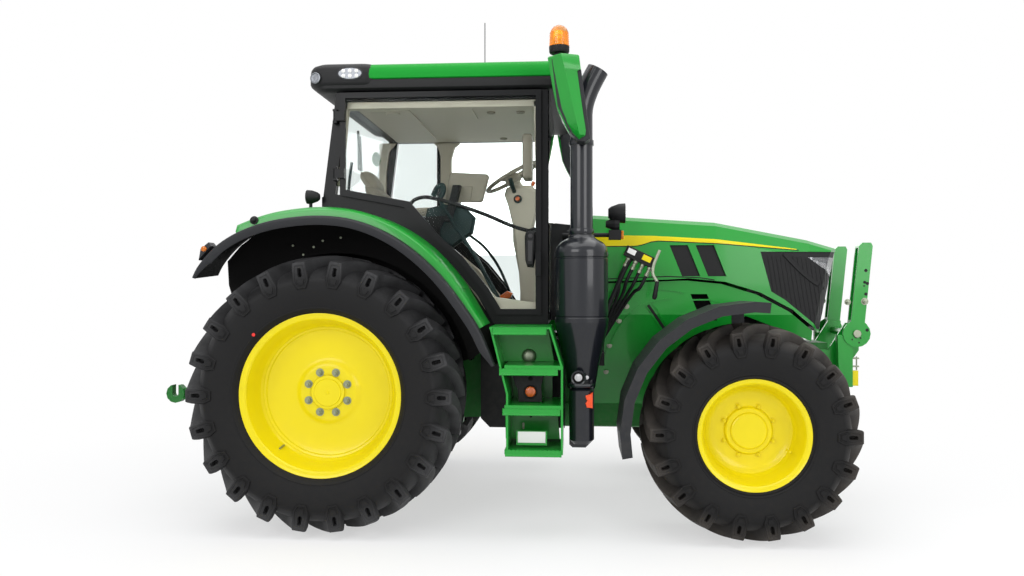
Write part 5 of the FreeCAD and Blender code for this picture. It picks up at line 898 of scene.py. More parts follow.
piece("beacon_bulb", *lathe([(0.053, 0), (0.053, 0.026), (0.080, 0.026), (0.110, 0.018), (0.120, 0)],
                            BEACON_SPOT, "z", 24), "chassis", REFLECTOR, "bright_steel")


def round_lamp(centre, facing, radius, deep):
    """Housing, clear face and bright bowl of a round lamp; facing is +1 forwards, -1 backwards."""
    axis = (facing, 0, 0)
    housing = [(-deep, 0), (-deep, radius*0.45), (-deep*0.82, radius*0.68), (-deep*0.35, radius*0.95),
               (0, radius), (0.004, radius), (0.006, radius*0.97), (0.004, radius*0.90),
               (-0.002, radius*0.88), (-0.004, radius*0.5), (-deep*0.5, 0)]
    bowl = [(-deep*0.42, 0), (-deep*0.40, radius*0.30), (-deep*0.25, radius*0.62), (0, radius*0.86)]
    face = [(0.001, radius*0.89), (0.004, radius*0.80), (0.009, radius*0.5), (0.011, 0)]
    return lathe(housing, centre, axis, 40), lathe(bowl, centre, axis, 40), lathe(face, centre, axis, 40)


housings, bowls, faces = [], [], []
POST_X, POST_Y, POST_Z = REAR_X - 0.150, -0.880, 2.108
for centre, facing, radius, deep in (
        (Vector((POST_X - 0.018, POST_Y, POST_Z)), -1, 0.045, 0.075),
        (Vector((REAR_X + 1.872, -0.620, 2.012)), 1, 0.066, 0.105)):
    for shapes, shape in zip((housings, bowls, faces), round_lamp(centre, facing, radius, deep)):
        shapes.append(shape)
post = join([pipe([(POST_X, POST_Y, 2.004), (POST_X, POST_Y, 2.075)], 0.011, 12),
             lathe([(2.004, 0), (2.004, 0.020), (2.010, 0.020), (2.014, 0.013), (2.014, 0)],
                   Vector((POST_X, POST_Y, 0)), "z", 24)])
pair("work_lamp_housings", housings + [post], "chassis", BLACK, "black_plastic")
pair("work_lamp_bowls", bowls, "chassis", REFLECTOR, "bright_steel")
made = pair("work_lamp_faces", faces, "chassis", LENS, "lens")
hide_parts("lamps")
marker = soft_box((REAR_X + 1.8505, -0.648, 1.842), (REAR_X + 1.867, -0.592, 1.898), 0.010, "x")
pair("marker_lens", [marker], "chassis", AMBER, "amber")
print("lamps made")

# %% [markdown]
# Paint lines and trim strips follow the hood's curved side. Each is cut as a flat shape in side view
# and laid on the sheet: a ray from outside finds the sheet at every corner, and the strip gets a
# hair of thickness so that it is a real closed piece.

# %% Lay a strip on a sheet
def tree_of(label):
    mesh = NODES[label].data
    mesh.calc_loop_triangles()
    return BVHTree.FromPolygons([vertex.co.copy() for vertex in mesh.vertices],
                                [tuple(triangle.vertices) for triangle in mesh.loop_triangles])


STRIP_THICK, STRIP_ROWS, FAR_RIGHT = 0.0012, 5, -2.0


def sheet_point(tree, x, z):
    """Where a level ray from the right meets the sheet, or None."""
    return tree.ray_cast(Vector((x, FAR_RIGHT, z)), Vector((0, 1, 0)))[0]


def draped(columns, tree):
    """A closed strip: columns of (x, low z, high z), laid on the tree's sheet from the right."""
    outer, inner = [], []
    count = 0
    for x, low, high in columns:
        hits = [sheet_point(tree, x, low + (high - low)*step/(STRIP_ROWS - 1)) for step in range(STRIP_ROWS)]
        if None in hits:
            continue
        outer += [spot - Vector((0, STRIP_THICK, 0)) for spot in hits]
        inner += [spot + Vector((0, 0.0015, 0)) for spot in hits]
        count += 1
    corners, faces = outer + inner, []
    back = len(outer)
    for column in range(count - 1):
        for step in range(STRIP_ROWS - 1):
            a, b = column*STRIP_ROWS + step, (column + 1)*STRIP_ROWS + step
            faces.append((a, b, b + 1, a + 1))
            faces.append((back + a + 1, back + b + 1, back + b, back + a))
        for edge in (0, STRIP_ROWS - 1):
            a, b = column*STRIP_ROWS + edge, (column + 1)*STRIP_ROWS + edge
            faces.append((a, back + a, back + b, b))
    for column in (0, count - 1):
        for step in range(STRIP_ROWS - 1):
            a = column*STRIP_ROWS + step
            faces.append((a, a + 1, back + a + 1, back + a))
    return corners, faces


def level(x, points):
    """Height at x on a line of (x, z) points, measured from the rear axle."""
    for (xa, za), (xb, zb) in zip(points, points[1:]):
        if xa <= x <= xb:
            return za + (zb - za)*(x - xa)/(xb - xa)
    return points[-1][1]


HOOD_TREE = tree_of("hood")
print("hood sheet found", sheet_point(HOOD_TREE, REAR_X + 2.3, 1.7) is not None)

# %% [markdown]
# The yellow line starts broad behind, narrows over a short slope and runs to a point near the headlight.
# Below it a black strip paints the shadow of a pressed groove, and a second black strip paints the shadow
# along the hood's edge.

# %% Stripe and painted groove shadows
STRIPE_TOP = [(1.640, 1.878), (1.900, 1.878), (2.087, 1.874), (2.500, 1.850), (3.045, 1.784)]
STRIPE_LOW = [(1.640, 1.806), (1.960, 1.808), (2.010, 1.818), (2.060, 1.836), (2.110, 1.843), (2.500, 1.824),
              (3.045, 1.779)]
EDGE_LINE = [(1.640, 1.578), (1.987, 1.592), (2.174, 1.600), (2.400, 1.590), (2.566, 1.562), (2.790, 1.487),
             (2.993, 1.378), (3.140, 1.262)]
STRIP_COLUMNS = 60


def strip(low_line, low_shift, high_line, high_shift, first, last):
    """A strip on the hood between two lines, each shifted up or down by a little."""
    places = [first + (last - first)*step/STRIP_COLUMNS for step in range(STRIP_COLUMNS + 1)]
    return draped([(REAR_X + x, level(x, low_line) + low_shift, level(x, high_line) + high_shift)
                   for x in places], HOOD_TREE)


stripe = strip(STRIPE_LOW, 0.0, STRIPE_TOP, 0.0, 1.645, 3.040)
pair("hood_stripe", [stripe], "hood", YELLOW, "rim_yellow")
# Painted shadow: thin black strips laid on the sheet stand for the shade in the grooves.
groove_shadows = [strip(STRIPE_LOW, -0.006, STRIPE_LOW, -0.0005, 1.645, 3.055),
           strip(EDGE_LINE, -0.004, EDGE_LINE, 0.003, 1.660, 3.120)]
pair("hood_grooves", groove_shadows, "hood", BLACK, "black_plastic")
print("stripe and grooves laid")

# %% [markdown]
# The grille is a black plate. Slim leaning ribs break it up, and a raised black bezel runs in a
# curve under the headlight down to the nose.

# %% Grille ribs and bezel
GRILLE_TREE = tree_of("hood_grille")


def ribbon(points, tree, width, thick):
    """A raised band along a line of (x, z) points on a sheet, square in section."""
    outer, inner = [], []
    line = [Vector((x, 0, z)) for x, z in points]
    for spot, point in enumerate(line):
        before, after = line[max(spot - 1, 0)], line[min(spot + 1, len(line) - 1)]
        along = (after - before).normalized()
        across = Vector((-along.z, 0, along.x))*width/2
        edges = [sheet_point(tree, REAR_X + edge.x, edge.z) for edge in (point - across, point + across)]
        if None not in edges:
            outer.append([corner - Vector((0, thick, 0)) for corner in edges])
            inner.append([corner + Vector((0, 0.003, 0)) for corner in edges])
    corners, faces = [], []
    for a, b in zip(outer, inner):
        corners += [a[0], a[1], b[1], b[0]]
    for spot in range(len(outer) - 1):
        for side in range(4):
            faces.append((spot*4 + side, spot*4 + (side + 1) % 4, (spot + 1)*4 + (side + 1) % 4,
                          (spot + 1)*4 + side))
    if outer:
        last = (len(outer) - 1)*4
        faces += [(3, 2, 1, 0), (last, last + 1, last + 2, last + 3)]
    return corners, faces


ribs = []
for index in range(15):
    top_x = 2.845 + index*0.028
    line = [(top_x + 0.07*step/11, 1.738 - 0.44*step/11) for step in range(12)]
    ribs.append(ribbon(line, GRILLE_TREE, 0.0035, 0.0030))
bezel_line = curved([(2.955, 0, 1.752), (3.060, 0, 1.640), (3.150, 0, 1.565), (3.235, 0, 1.520)], 0.4, 5)
ribs.append(ribbon([(spot.x, spot.z) for spot in bezel_line], GRILLE_TREE, 0.026, 0.010))
pair("grille_ribs", ribs, "hood", BLACK, "black_plastic")
print("grille ribs", len(ribs))

# %% [markdown]
# Beside the hood stands a hydraulic coupler: one tilted block that joins four hoses at once, with a
# bright lever and a black grip. The hoses are clamped at both ends and along the way, so they are
# made as formed pipes.

# %% Coupler block, hoses and lever
COUPLER_Y = -0.600


def side_point(x, z, y=COUPLER_Y):
    """A point beside the hood, in side view unless its depth is given."""
    return at(x, y, z)


def slanted(x0, z0, x1, z1, tall, y0, y1, soft=0.006):
    """A block whose top runs from (x0, z0) to (x1, z1), and which is tall downwards."""
    along = Vector((x1 - x0, z1 - z0)).normalized()
    down = Vector((along.y, -along.x))*tall
    outline = [(REAR_X + x0, z0), (REAR_X + x1, z1), (REAR_X + x1 + down.x, z1 + down.y),
               (REAR_X + x0 + down.x, z0 + down.y)]
    return plate(outline, y0, y1, "y", soft=soft)


block = [slanted(1.895, 1.802, 2.075, 1.716, 0.070, -0.640, -0.575),
         slanted(1.905, 1.792, 2.065, 1.716, 0.046, -0.646, -0.640, 0.002),
         slanted(1.700, 1.100, 1.742, 1.100, 0.090, -0.640, -0.190, 0.008)]
post_line = curved([side_point(1.720, 1.080), side_point(1.745, 1.350),
                    side_point(1.900, 1.700), side_point(1.960, 1.745)], 0.3, 4)
block.append(pipe(post_line, 0.016, 12))
made = piece("coupler_block", *join(block), "chassis", BLACK, "black_plastic")
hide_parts("hydraulic_block")
piece("coupler_plate_white", *slanted(1.902, 1.786, 1.952, 1.762, 0.034, -0.6478, -0.6458, 0.0005), "chassis",
      WHITE_PLATE, "bright_steel")
piece("coupler_plate_yellow",
      *slanted(1.998, 1.742, 2.052, 1.716, 0.036, -0.6478, -0.6458, 0.0005), "chassis", YELLOW, "rim_yellow")
fittings, hoses = [], []
slope = Vector((1.895 - 2.075, 0, 1.802 - 1.716)).normalized()
downward = Vector((slope.z, 0, -slope.x))
if downward.z > 0:
    downward = -downward
for index in range(4):
    spot = side_point(1.904 + index*0.046, 1.724 - index*0.022) + Vector((0, -0.014*(index % 2), 0))
    fittings.append(lathe([(-0.030, 0.013), (0, 0.013), (0.002, 0.018), (0.020, 0.018), (0.022, 0.013),
                           (0.046, 0.012), (0.048, 0.0155), (0.066, 0.0155), (0.068, 0.010), (0.068, 0)],
                          spot, tuple(downward), 12))
    end = spot + downward*0.060
    line = [end, end + downward*0.10, side_point(1.842 + index*0.032, 1.500, -0.590 + index*0.012),
            side_point(1.775 + index*0.018, 1.330, -0.520 + index*0.012),
            side_point(1.715 + index*0.010, 1.180, -0.400), side_point(1.690, 1.080, -0.250 + index*0.012)]
    hoses.append(pipe(curved(line, 0.45, 6), 0.0115, 12))
piece("coupler_fittings", *join(fittings), "chassis", NUT_METAL, "bright_steel")
piece("coupler_hoses", *join(hoses), "chassis", BLACK, "black_plastic")
lever_line = curved([side_point(2.100, 1.768, -0.650), side_point(2.058, 1.668, -0.652),
                     side_point(2.052, 1.612, -0.655), side_point(2.082, 1.560, -0.660)], 0.3, 4)
piece("coupler_lever", *pipe(lever_line, 0.0075, 10, flat=1.4), "chassis", NUT_METAL, "bright_steel")
grip = lathe([(0, 0), (0, 0.009), (0.008, 0.013), (0.060, 0.0145), (0.105, 0.016),
              (0.118, 0.012), (0.122, 0)],
             side_point(2.084, 1.565, -0.660), (-0.18, 0, -1.0), 16)
piece("coupler_grip", *grip, "chassis", BLACK, "black_plastic")
print("coupler made")

# %% [markdown]
# The side panel below the hood is pressed with shallow ribs and held by bolts. Behind the front wheel's
# fender a black strip crosses it, a painted shadow of a rib.

# %% Side panel details
PANEL_TREE = tree_of("side_panels")
panel_ribs = []
for line, width, thick in (
        ([(1.760, 1.500), (1.900, 1.515), (2.080, 1.520), (2.240, 1.505), (2.330, 1.470)], 0.012, 0.006),
        ([(1.700, 0.930), (1.760, 1.060), (1.830, 1.220), (1.900, 1.330), (2.010, 1.420), (2.200, 1.455)],
         0.010, 0.006),
        ([(2.030, 1.400), (2.120, 1.270), (2.215, 1.130)], 0.010, 0.006),
        ([(2.075, 1.415), (2.165, 1.285), (2.255, 1.150)], 0.010, 0.006),
        ([(2.330, 1.440), (2.420, 1.452), (2.520, 1.430)], 0.010, 0.005)):
    smooth = curved([(x, 0, z) for x, z in line], 0.45, 5)
    panel_ribs.append(ribbon([(spot.x, spot.z) for spot in smooth], PANEL_TREE, width, thick))
pair("panel_ribs", panel_ribs, "chassis", GREEN, "green_paint")
# Painted shadow: a black strip on the sheet where a rib's shade falls.
dark = ribbon([(2.040 + 0.185*step/8, 1.402 - 0.262*step/8) for step in range(9)], PANEL_TREE, 0.030, 0.004)
pair("panel_rib_shadow", [dark], "chassis", BLACK, "black_plastic")
heads = []
for x, z in ((1.849, 1.297), (1.787, 1.123), (1.766, 0.935), (1.900, 1.395), (2.300, 1.300), (2.340, 1.120)):
    hit = sheet_point(PANEL_TREE, REAR_X + x, z)
    if hit is not None:
        heads.append(bolt(hit - Vector((0, 0.001, 0)), TO_RIGHT, 0.026))
pair("panel_bolts", heads, "chassis", NUT_METAL, "bright_steel")
print("panel bolts", len(heads))

# %% [markdown]
# The access ladder has folded treads with toothed front edges, so that muddy boots grip. A black
# bracket with a round orange reflector hangs behind the middle tread, and a blank white plate sits
# behind the lowest one.

# %% Ladder details
TREADS = ((0.552, 1.120, 1.490), (0.797, 1.105, 1.482), (1.035, 1.085, 1.468), (1.276, 1.045, 1.400))
teeth = []
TEETH_PER_TREAD = 14
for height, rear, front in TREADS:
    rear, front = REAR_X + rear + 0.014, REAR_X + front - 0.020
    outline = [(rear, height - 0.030), (front, height - 0.030)]
    for index in range(TEETH_PER_TREAD, -1, -1):
        x = rear + (front - rear)*index/TEETH_PER_TREAD
        outline.append((x, height + 0.008))
        if index:
            outline.append((x - (front - rear)/TEETH_PER_TREAD*0.5, height + 0.001))
    teeth.append(plate(outline, -1.206, -1.199, "y", soft=0.0015))
    roll = pipe([(rear, -1.203, height - 0.028), (front, -1.203, height - 0.028)], 0.007, 10)
    teeth.append(roll)
pair("tread_edges", teeth, "chassis", GREEN, "green_paint")
back = side_plate([(1.115, 0.575), (1.455, 0.575), (1.440, 0.775), (1.110, 0.775)], -0.925, -0.917, 0.003)
riser = side_plate([(1.105, 1.060), (1.420, 1.060), (1.385, 1.262), (1.050, 1.262)], -0.925, -0.917, 0.003)
pair("ladder_backs", [back, riser], "chassis", GREEN, "green_paint")
bracket = side_plate([(1.165, 0.995), (1.365, 0.995), (1.345, 0.925), (1.350, 0.825), (1.205, 0.825),
                      (1.200, 0.905), (1.185, 0.925)], -1.060, -1.054, 0.002)
pair("reflector_bracket", [bracket], "chassis", BLACK, "black_plastic")
reflector = lathe([(0, 0), (0, 0.032), (0.006, 0.032), (0.010, 0.029), (0.012, 0.026), (0.013, 0)],
                  at(1.278, -1.061, 0.888), TO_RIGHT, 40)
pair("ladder_reflector", [reflector], "chassis", ORANGE, "amber")
ring = lathe([(0, 0.030), (0, 0.040), (0.009, 0.040), (0.012, 0.037), (0.009, 0.033)],
             at(1.278, -1.061, 0.888), TO_RIGHT, 40)
pair("reflector_ring", [ring], "chassis", BLACK, "black_plastic")
plate_white = side_plate([(1.205, 0.588), (1.372, 0.588), (1.372, 0.655), (1.205, 0.655)], -1.130,
                         -1.126, 0.001)
holder = side_plate([(1.195, 0.572), (1.382, 0.572), (1.382, 0.660), (1.195, 0.660)], -1.126, -1.120, 0.001)
pair("blank_plate", [plate_white], "chassis", WHITE_PLATE, "bright_steel")
pair("plate_holder", [holder], "chassis", GREEN, "green_paint")
heads = [soft_box(at(1.220, -0.932, 0.636), at(1.234, -0.925, 0.678), 0.006, "y"),
         lathe([(0, 0), (0, 0.046), (0.010, 0.044), (0.020, 0.036), (0.026, 0.020), (0.028, 0)],
               at(1.262, -0.926, 1.095), TO_RIGHT, 32)]
pair("ladder_fittings", heads, "chassis", NUT_METAL, "bright_steel")
# Painted shade: two shallow black cups stand for the dark insides of holes.
hole_shadows = [lathe([(0.0006, radius), (0.001, radius*0.9), (0.0004, 0)], spot, TO_RIGHT, 20)
         for spot, radius in ((at(1.278, -1.0605, 0.968), 0.014), (at(1.273, -0.9255, 0.717), 0.008))]
pair("ladder_holes", hole_shadows, "chassis", PITCH, "black_plastic")
connector = side_plate([(1.620, 0.800), (1.656, 0.796), (1.656, 0.890), (1.640, 0.880), (1.612, 0.872),
                        (1.616, 0.852), (1.624, 0.842), (1.612, 0.825)], -1.106, -1.060, 0.003)
piece("red_connector", *connector, "chassis", CONNECTOR_RED, "black_plastic")
print("ladder dressed")

# %% [markdown]
# The front linkage is flame-cut plate. Holes in the arms take pins at other heights, so the arms carry bores,
# drawn as shallow black cups of painted shade, with plain bolts, and the pivot plate has small screws. Black
# sheets inside the hood's edge paint the shade of the engine bay, so that nobody looks through it.

# %% Front linkage details
ARM_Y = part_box("front_link_right")[0].y


def hole(spot, radius):
    """The mouth of a drilled hole as painted shade: a shallow black cup sunk in the plate."""
    return lathe([(0.0006, radius), (0.0008, radius*0.92), (0.0002, radius*0.85), (0.0002, 0)],
                 spot, TO_RIGHT, 20)


# Painted shade: black cups in the arms stand for the dark insides of the bores.
hole_shadows = join([hole(at(x, ARM_Y, z), radius) for x, z, radius in (
    (3.520, 1.640, 0.011), (3.512, 1.560, 0.010), (3.530, 1.552, 0.011), (3.508, 1.535, 0.006),
    (3.520, 1.480, 0.011), (3.455, 1.185, 0.007), (3.430, 1.170, 0.006), (3.475, 1.150, 0.006),
    (3.485, 1.180, 0.006), (3.528, 1.235, 0.011))])
screws = join([bolt(at(3.512, ARM_Y - 0.001, 1.430), TO_RIGHT, 0.034, stud=0.006),
               bolt(at(3.405, ARM_Y + 0.020, 1.425), TO_RIGHT, 0.030, stud=0.006)])
for side, mouths, heads in (("right", hole_shadows, screws), ("left", flipped(hole_shadows), flipped(screws))):
    piece(f"link_holes_{side}", *mouths, f"front_link_{side}", BLACK, "black_plastic")
    piece(f"link_bolts_{side}", *heads, f"front_link_{side}", NUT_METAL, "bright_steel")
pin_ends = [lathe([(0, 0), (0, 0.026), (0.006, 0.026), (0.008, 0.023), (0.008, 0)], at(3.460, -0.3162, 1.210),
                  TO_RIGHT, 24)]
for x, z in ((3.120, 1.050), (3.240, 1.050), (3.120, 0.860), (3.240, 0.860)):
    pin_ends.append(bolt(at(x, -0.2085, z), TO_RIGHT, 0.034, stud=0.008))
pair("hitch_bolts", pin_ends, "chassis", NUT_METAL, "bright_steel")
post = side_plate([(3.335, 1.200), (3.438, 1.200), (3.438, 0.845), (3.345, 0.845)], -0.300, -0.245, 0.005)
pair("hitch_posts", [post], "chassis", GREEN, "green_paint")
stop = side_plate([(3.430, 0.853), (3.477, 0.853), (3.477, 0.957), (3.430, 0.957)], -0.292, -0.253, 0.004)
pair("hitch_stops", [stop], "chassis", YELLOW, "rim_yellow")
pins = [pipe([at(3.430, -0.272, z), at(3.486, -0.272, z)], 0.006, 8) for z in (0.985, 1.040)]
pins.append(pipe([at(3.470, -0.272, 0.960), at(3.470, -0.272, 1.052)], 0.005, 8))
pair("hitch_pins", pins, "chassis", NUT_METAL, "bright_steel")
# Painted shade: black sheets stand where the engine bay lies in shade.
shade_sheet = side_plate([(1.66, 1.25), (2.80, 1.25), (2.74, 1.44), (2.48, 1.64), (1.66, 1.69)],
                    -0.306, -0.300, 0.0)
pair("bay_shields", [shade_sheet], "chassis", PITCH, "black_plastic")
print("front linkage dressed")

# %% [markdown]
# The cab is lined in cream mouldings: a post by the windscreen, a sill, a band along the wheel arch,
# and posts on the far side that widen where they meet the ceiling. Each is cut in side view.

# %% Linings of the cab
linings = [
    side_plate([(1.288, 1.400), (1.318, 1.356), (1.352, 1.356), (1.338, 2.730), (1.284, 2.730),
                (1.302, 2.000)],
               -0.795, -0.735),
    side_plate([(0.972, 1.354), (1.320, 1.354), (1.320, 1.424), (1.040, 1.462), (0.940, 1.420)],
               -0.790, -0.742),
    side_plate([(0.530, 1.900), (0.700, 1.720), (0.860, 1.525), (0.942, 1.395), (1.042, 1.462),
                (0.930, 1.575), (0.760, 1.740), (0.560, 1.926)], -0.785, -0.745),
    side_plate([(-0.012, 2.190), (0.026, 2.190), (0.074, 2.730), (0.036, 2.730)], -0.795, -0.745),
    side_plate([(0.036, 2.690), (1.330, 2.690), (1.330, 2.732), (0.036, 2.732)], -0.795, -0.730),
    side_plate([(0.425, 1.352), (0.535, 1.352), (0.522, 2.300), (0.522, 2.600), (0.550, 2.700),
                (0.590, 2.730), (0.375, 2.730), (0.410, 2.700), (0.432, 2.620), (0.432, 2.300)],
               0.742, 0.800),
    side_plate([(-0.088, 2.060), (-0.028, 2.060), (-0.024, 2.480), (0.000, 2.660), (0.060, 2.730),
                (-0.088, 2.730)],
               0.742, 0.800),
    side_plate([(1.300, 1.356), (1.352, 1.356), (1.352, 2.730), (1.270, 2.730), (1.292, 2.600)],
               0.742, 0.800),
    side_plate([(0.540, 1.356), (1.310, 1.356), (1.310, 1.410), (0.540, 1.410)], 0.742, 0.790),
]
piece("cab_linings", *join(linings), "chassis", CREAM, "cream_trim")
details = [soft_box(at(0.480, -0.620, 2.722), at(0.860, -0.200, 2.7315), 0.03, "z"),
           soft_box(at(0.910, -0.640, 2.716), at(1.260, 0.640, 2.7315), 0.03, "z"),
           soft_box(at(0.150, -0.560, 2.720), at(0.430, 0.560, 2.7315), 0.03, "z"),
           lathe([(0, 0.052), (0.006, 0.050), (0.010, 0.044), (0.010, 0)], at(0.300, -0.480, 2.720),
                 (0, 0, -1), 32)]
piece("ceiling_panels", *join(details), "chassis", CREAM, "cream_trim")
vents = [lathe([(0, 0.030), (0.010, 0.028), (0.006, 0.020), (0.006, 0)], at(x, y, 2.716), (0, 0, -1), 24)
         for x, y in ((0.98, -0.50), (0.98, 0.50), (1.18, -0.50), (1.18, 0.50))]
piece("air_vents", *join(vents), "chassis", TAUPE, "black_plastic")
print("linings", len(linings))

# %% [markdown]
# The seat is upholstered. Each pad is a crowned form: it swells in the middle, its sides pull in
# between the corners, sewn channels run across it, and a welt follows the edge. It is built as a
# closed mesh and smoothed by one subdivision.

# %% Padded seat
PAD_STEPS = 30


def pad(width, depth, tall, place, channels=()):
    """A crowned pad: width along y, depth along x and tall along z before it is placed."""
    grid = {}
    corners, faces = [], []

    def corner(i, j, side):
        edge = i in (0, PAD_STEPS) or j in (0, PAD_STEPS)
        key = (i, j, 0 if edge else side)
        if key not in grid:
            u, v = 2*i/PAD_STEPS - 1, 2*j/PAD_STEPS - 1
            swell = (1 - abs(u)**4)**0.42*(1 - abs(v)**4)**0.42
            for where in channels:
                swell *= 1 - 0.16*math.exp(-((v - where)/0.035)**2)
            y = width/2*u*(1 - 0.030*(1 - v*v))*(1 - 0.06*abs(v)**6)
            x = depth/2*v*(1 - 0.035*(1 - u*u))*(1 - 0.06*abs(u)**6)
            z = 0.0 if edge else tall/2*swell*(1.0 if side > 0 else -0.75)
            grid[key] = len(corners)
            corners.append(place @ Vector((x, y, z)))
        return grid[key]

    for i in range(PAD_STEPS):
        for j in range(PAD_STEPS):
            faces.append((corner(i, j, 1), corner(i + 1, j, 1), corner(i + 1, j + 1, 1), corner(i, j + 1, 1)))
            faces.append((corner(i, j + 1, -1), corner(i + 1, j + 1, -1), corner(i + 1, j, -1),
                          corner(i, j, -1)))
    border = [(i, 0) for i in range(PAD_STEPS)] + [(PAD_STEPS, j) for j in range(PAD_STEPS)]
    border += [(PAD_STEPS - i, PAD_STEPS - j) for i, j in border]
    welt = pipe([corners[corner(i, j, 0)] for i, j in border], 0.0042, 8, closed=True)
    return (corners, faces), welt


def lean(x, z, angle, y=0.0):
    """Where a pad goes: its middle, and how far it leans back from lying flat, in degrees."""
    return Matrix.Translation(at(x, y, z)) @ Matrix.Rotation(math.radians(angle), 4, "Y")


PADS = {
    "seat_cushion": pad(0.50, 0.48, 0.150, lean(0.385, 1.800, -7), (-0.35, 0.0, 0.35)),
    "seat_back": pad(0.47, 0.48, 0.130, lean(0.185, 2.075, 50), (-0.45, -0.10, 0.25)),
    "seat_headrest": pad(0.30, 0.17, 0.110, lean(0.035, 2.300, 55)),
    "armrest_right": pad(0.075, 0.34, 0.070, lean(0.420, 2.050, -4, -0.300)),
    "armrest_left": pad(0.075, 0.34, 0.070, lean(0.400, 2.040, -4, 0.300)),
}
welts = []
for label, (form, welt) in PADS.items():
    made = piece(label, *form, "chassis", CLOTH, "seat_cloth", crease=60)
    made.modifiers.new("Smooth", "SUBSURF").levels = 1
    made.modifiers["Smooth"].render_levels = 1
    welts.append(welt)
piece("seat_welts", *join(welts), "chassis", TAUPE, "seat_cloth")
bellows = [(0.0, 0.150)]
for fold in range(7):
    bellows += [(0.012 + fold*0.045, 0.162), (0.034 + fold*0.045, 0.128)]
bellows += [(0.340, 0.165), (0.352, 0.160), (0.352, 0)]
frame_parts = [lathe([(0, 0), *bellows], at(0.330, 0, 1.328), (0, 0, 1), 40),
               soft_box(at(0.150, -0.200, 1.678), at(0.590, 0.200, 1.728), 0.03, "z"),
               pipe(curved([at(0.30, -0.262, 1.76), at(0.24, -0.275, 1.90), at(0.27, -0.290, 2.010)], 0.4,
                           5), 0.014, 10),
               pipe(curved([at(0.30, 0.262, 1.76), at(0.24, 0.275, 1.90), at(0.27, 0.290, 2.000)], 0.4,
                           5), 0.014, 10)]
made = piece("seat_suspension", *join(frame_parts), "chassis", TEAL, "black_plastic")
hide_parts("seat")
print("seat pads", len(PADS))

# %% [markdown]
# In front of the driver is the steering column. It carries a wheel with three spokes, a stalk and a
# few round controls, some of them orange. The shroud is cut in side view, like the linings.

# %% Steering wheel and column
wheel_mid = at(1.085, 0, 2.338)
axis = Vector((-0.50, 0, 0.866))
side_axis = Vector((0, 1, 0))
up_axis = axis.cross(side_axis).normalized()


def on_wheel(radius, turn, lift=0.0):
    return wheel_mid + (side_axis*math.cos(turn) + up_axis*math.sin(turn))*radius + axis*lift


rim_line = [on_wheel(0.205, 2*math.pi*step/48) for step in range(48)]
wheel = [pipe(rim_line, 0.0145, 12, closed=True),
         lathe([(-0.050, 0), (-0.050, 0.050), (-0.020, 0.062), (0.0, 0.058), (0.012, 0.046),
                (0.016, 0)], wheel_mid,
               tuple(axis), 36)]
for turn in (math.radians(20), math.radians(160), math.radians(270)):
    wheel.append(pipe([on_wheel(0.045, turn, -0.012), on_wheel(0.120, turn, -0.010),
                       on_wheel(0.203, turn, 0)],
                      0.011, 10, flat=1.7))
piece("steering_wheel", *join(wheel), "chassis", TAUPE, "cream_trim")
column = side_plate([(1.034, 2.200), (1.050, 2.250), (1.100, 2.270), (1.235, 2.268), (1.262, 2.240),
                     (1.262, 2.080), (1.246, 1.960), (1.272, 1.700), (1.290, 1.420), (1.285, 1.335),
                     (1.150, 1.335), (1.152, 1.480), (1.140, 1.640), (1.098, 1.860), (1.096, 1.980),
                     (1.062, 2.120)], -0.105, 0.105, 0.030)
shaft = lathe([(0, 0), (0, 0.040), (0.150, 0.036), (0.150, 0)], wheel_mid - axis*0.165, tuple(axis), 24)
made = piece("steering_shroud", *join([column, shaft]), "chassis", CREAM, "cream_trim")
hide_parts("steering_column")
stalk_line = curved([at(1.110, -0.09, 2.215), at(1.100, -0.150, 2.250), at(1.085, -0.175, 2.305)], 0.3, 4)
controls = [pipe(stalk_line, 0.016, 10),
            lathe([(0, 0), (0, 0.030), (0.012, 0.030), (0.016, 0.026), (0.016, 0)],
                  at(1.135, -0.104, 2.165), TO_RIGHT, 24),
            side_plate([(0.905, 1.440), (1.120, 1.395), (1.300, 1.380), (1.300, 1.350),
                        (0.930, 1.350)], 0.02, 0.16)]
piece("column_controls", *join(controls), "chassis", TEAL, "black_plastic")
knobs = [lathe([(0, 0), (0, 0.017), (0.012, 0.018), (0.022, 0.014), (0.024, 0)], at(1.135, -0.119, 2.165),
               TO_RIGHT, 20),
         lathe([(0, 0), (0, 0.010), (0.014, 0.015), (0.030, 0.015), (0.036, 0.008), (0.037, 0)],
               at(1.235, -0.04, 2.268), (0.4, 0, 1), 16),
         side_plate([(0.985, 1.452), (1.060, 1.500), (1.100, 1.485), (1.085, 1.450), (1.030, 1.436)],
                    -0.14, -0.06)]
piece("orange_controls", *join(knobs), "chassis", ORANGE, "amber")
print("steering made")

# %% [markdown]
# The terminal is a flat screen in a rounded case, and a slim display hangs on the post. Rails help
# the driver climb in. The door carries a long inside
# rail and a moulded latch with a bright button, and these ride with the door.

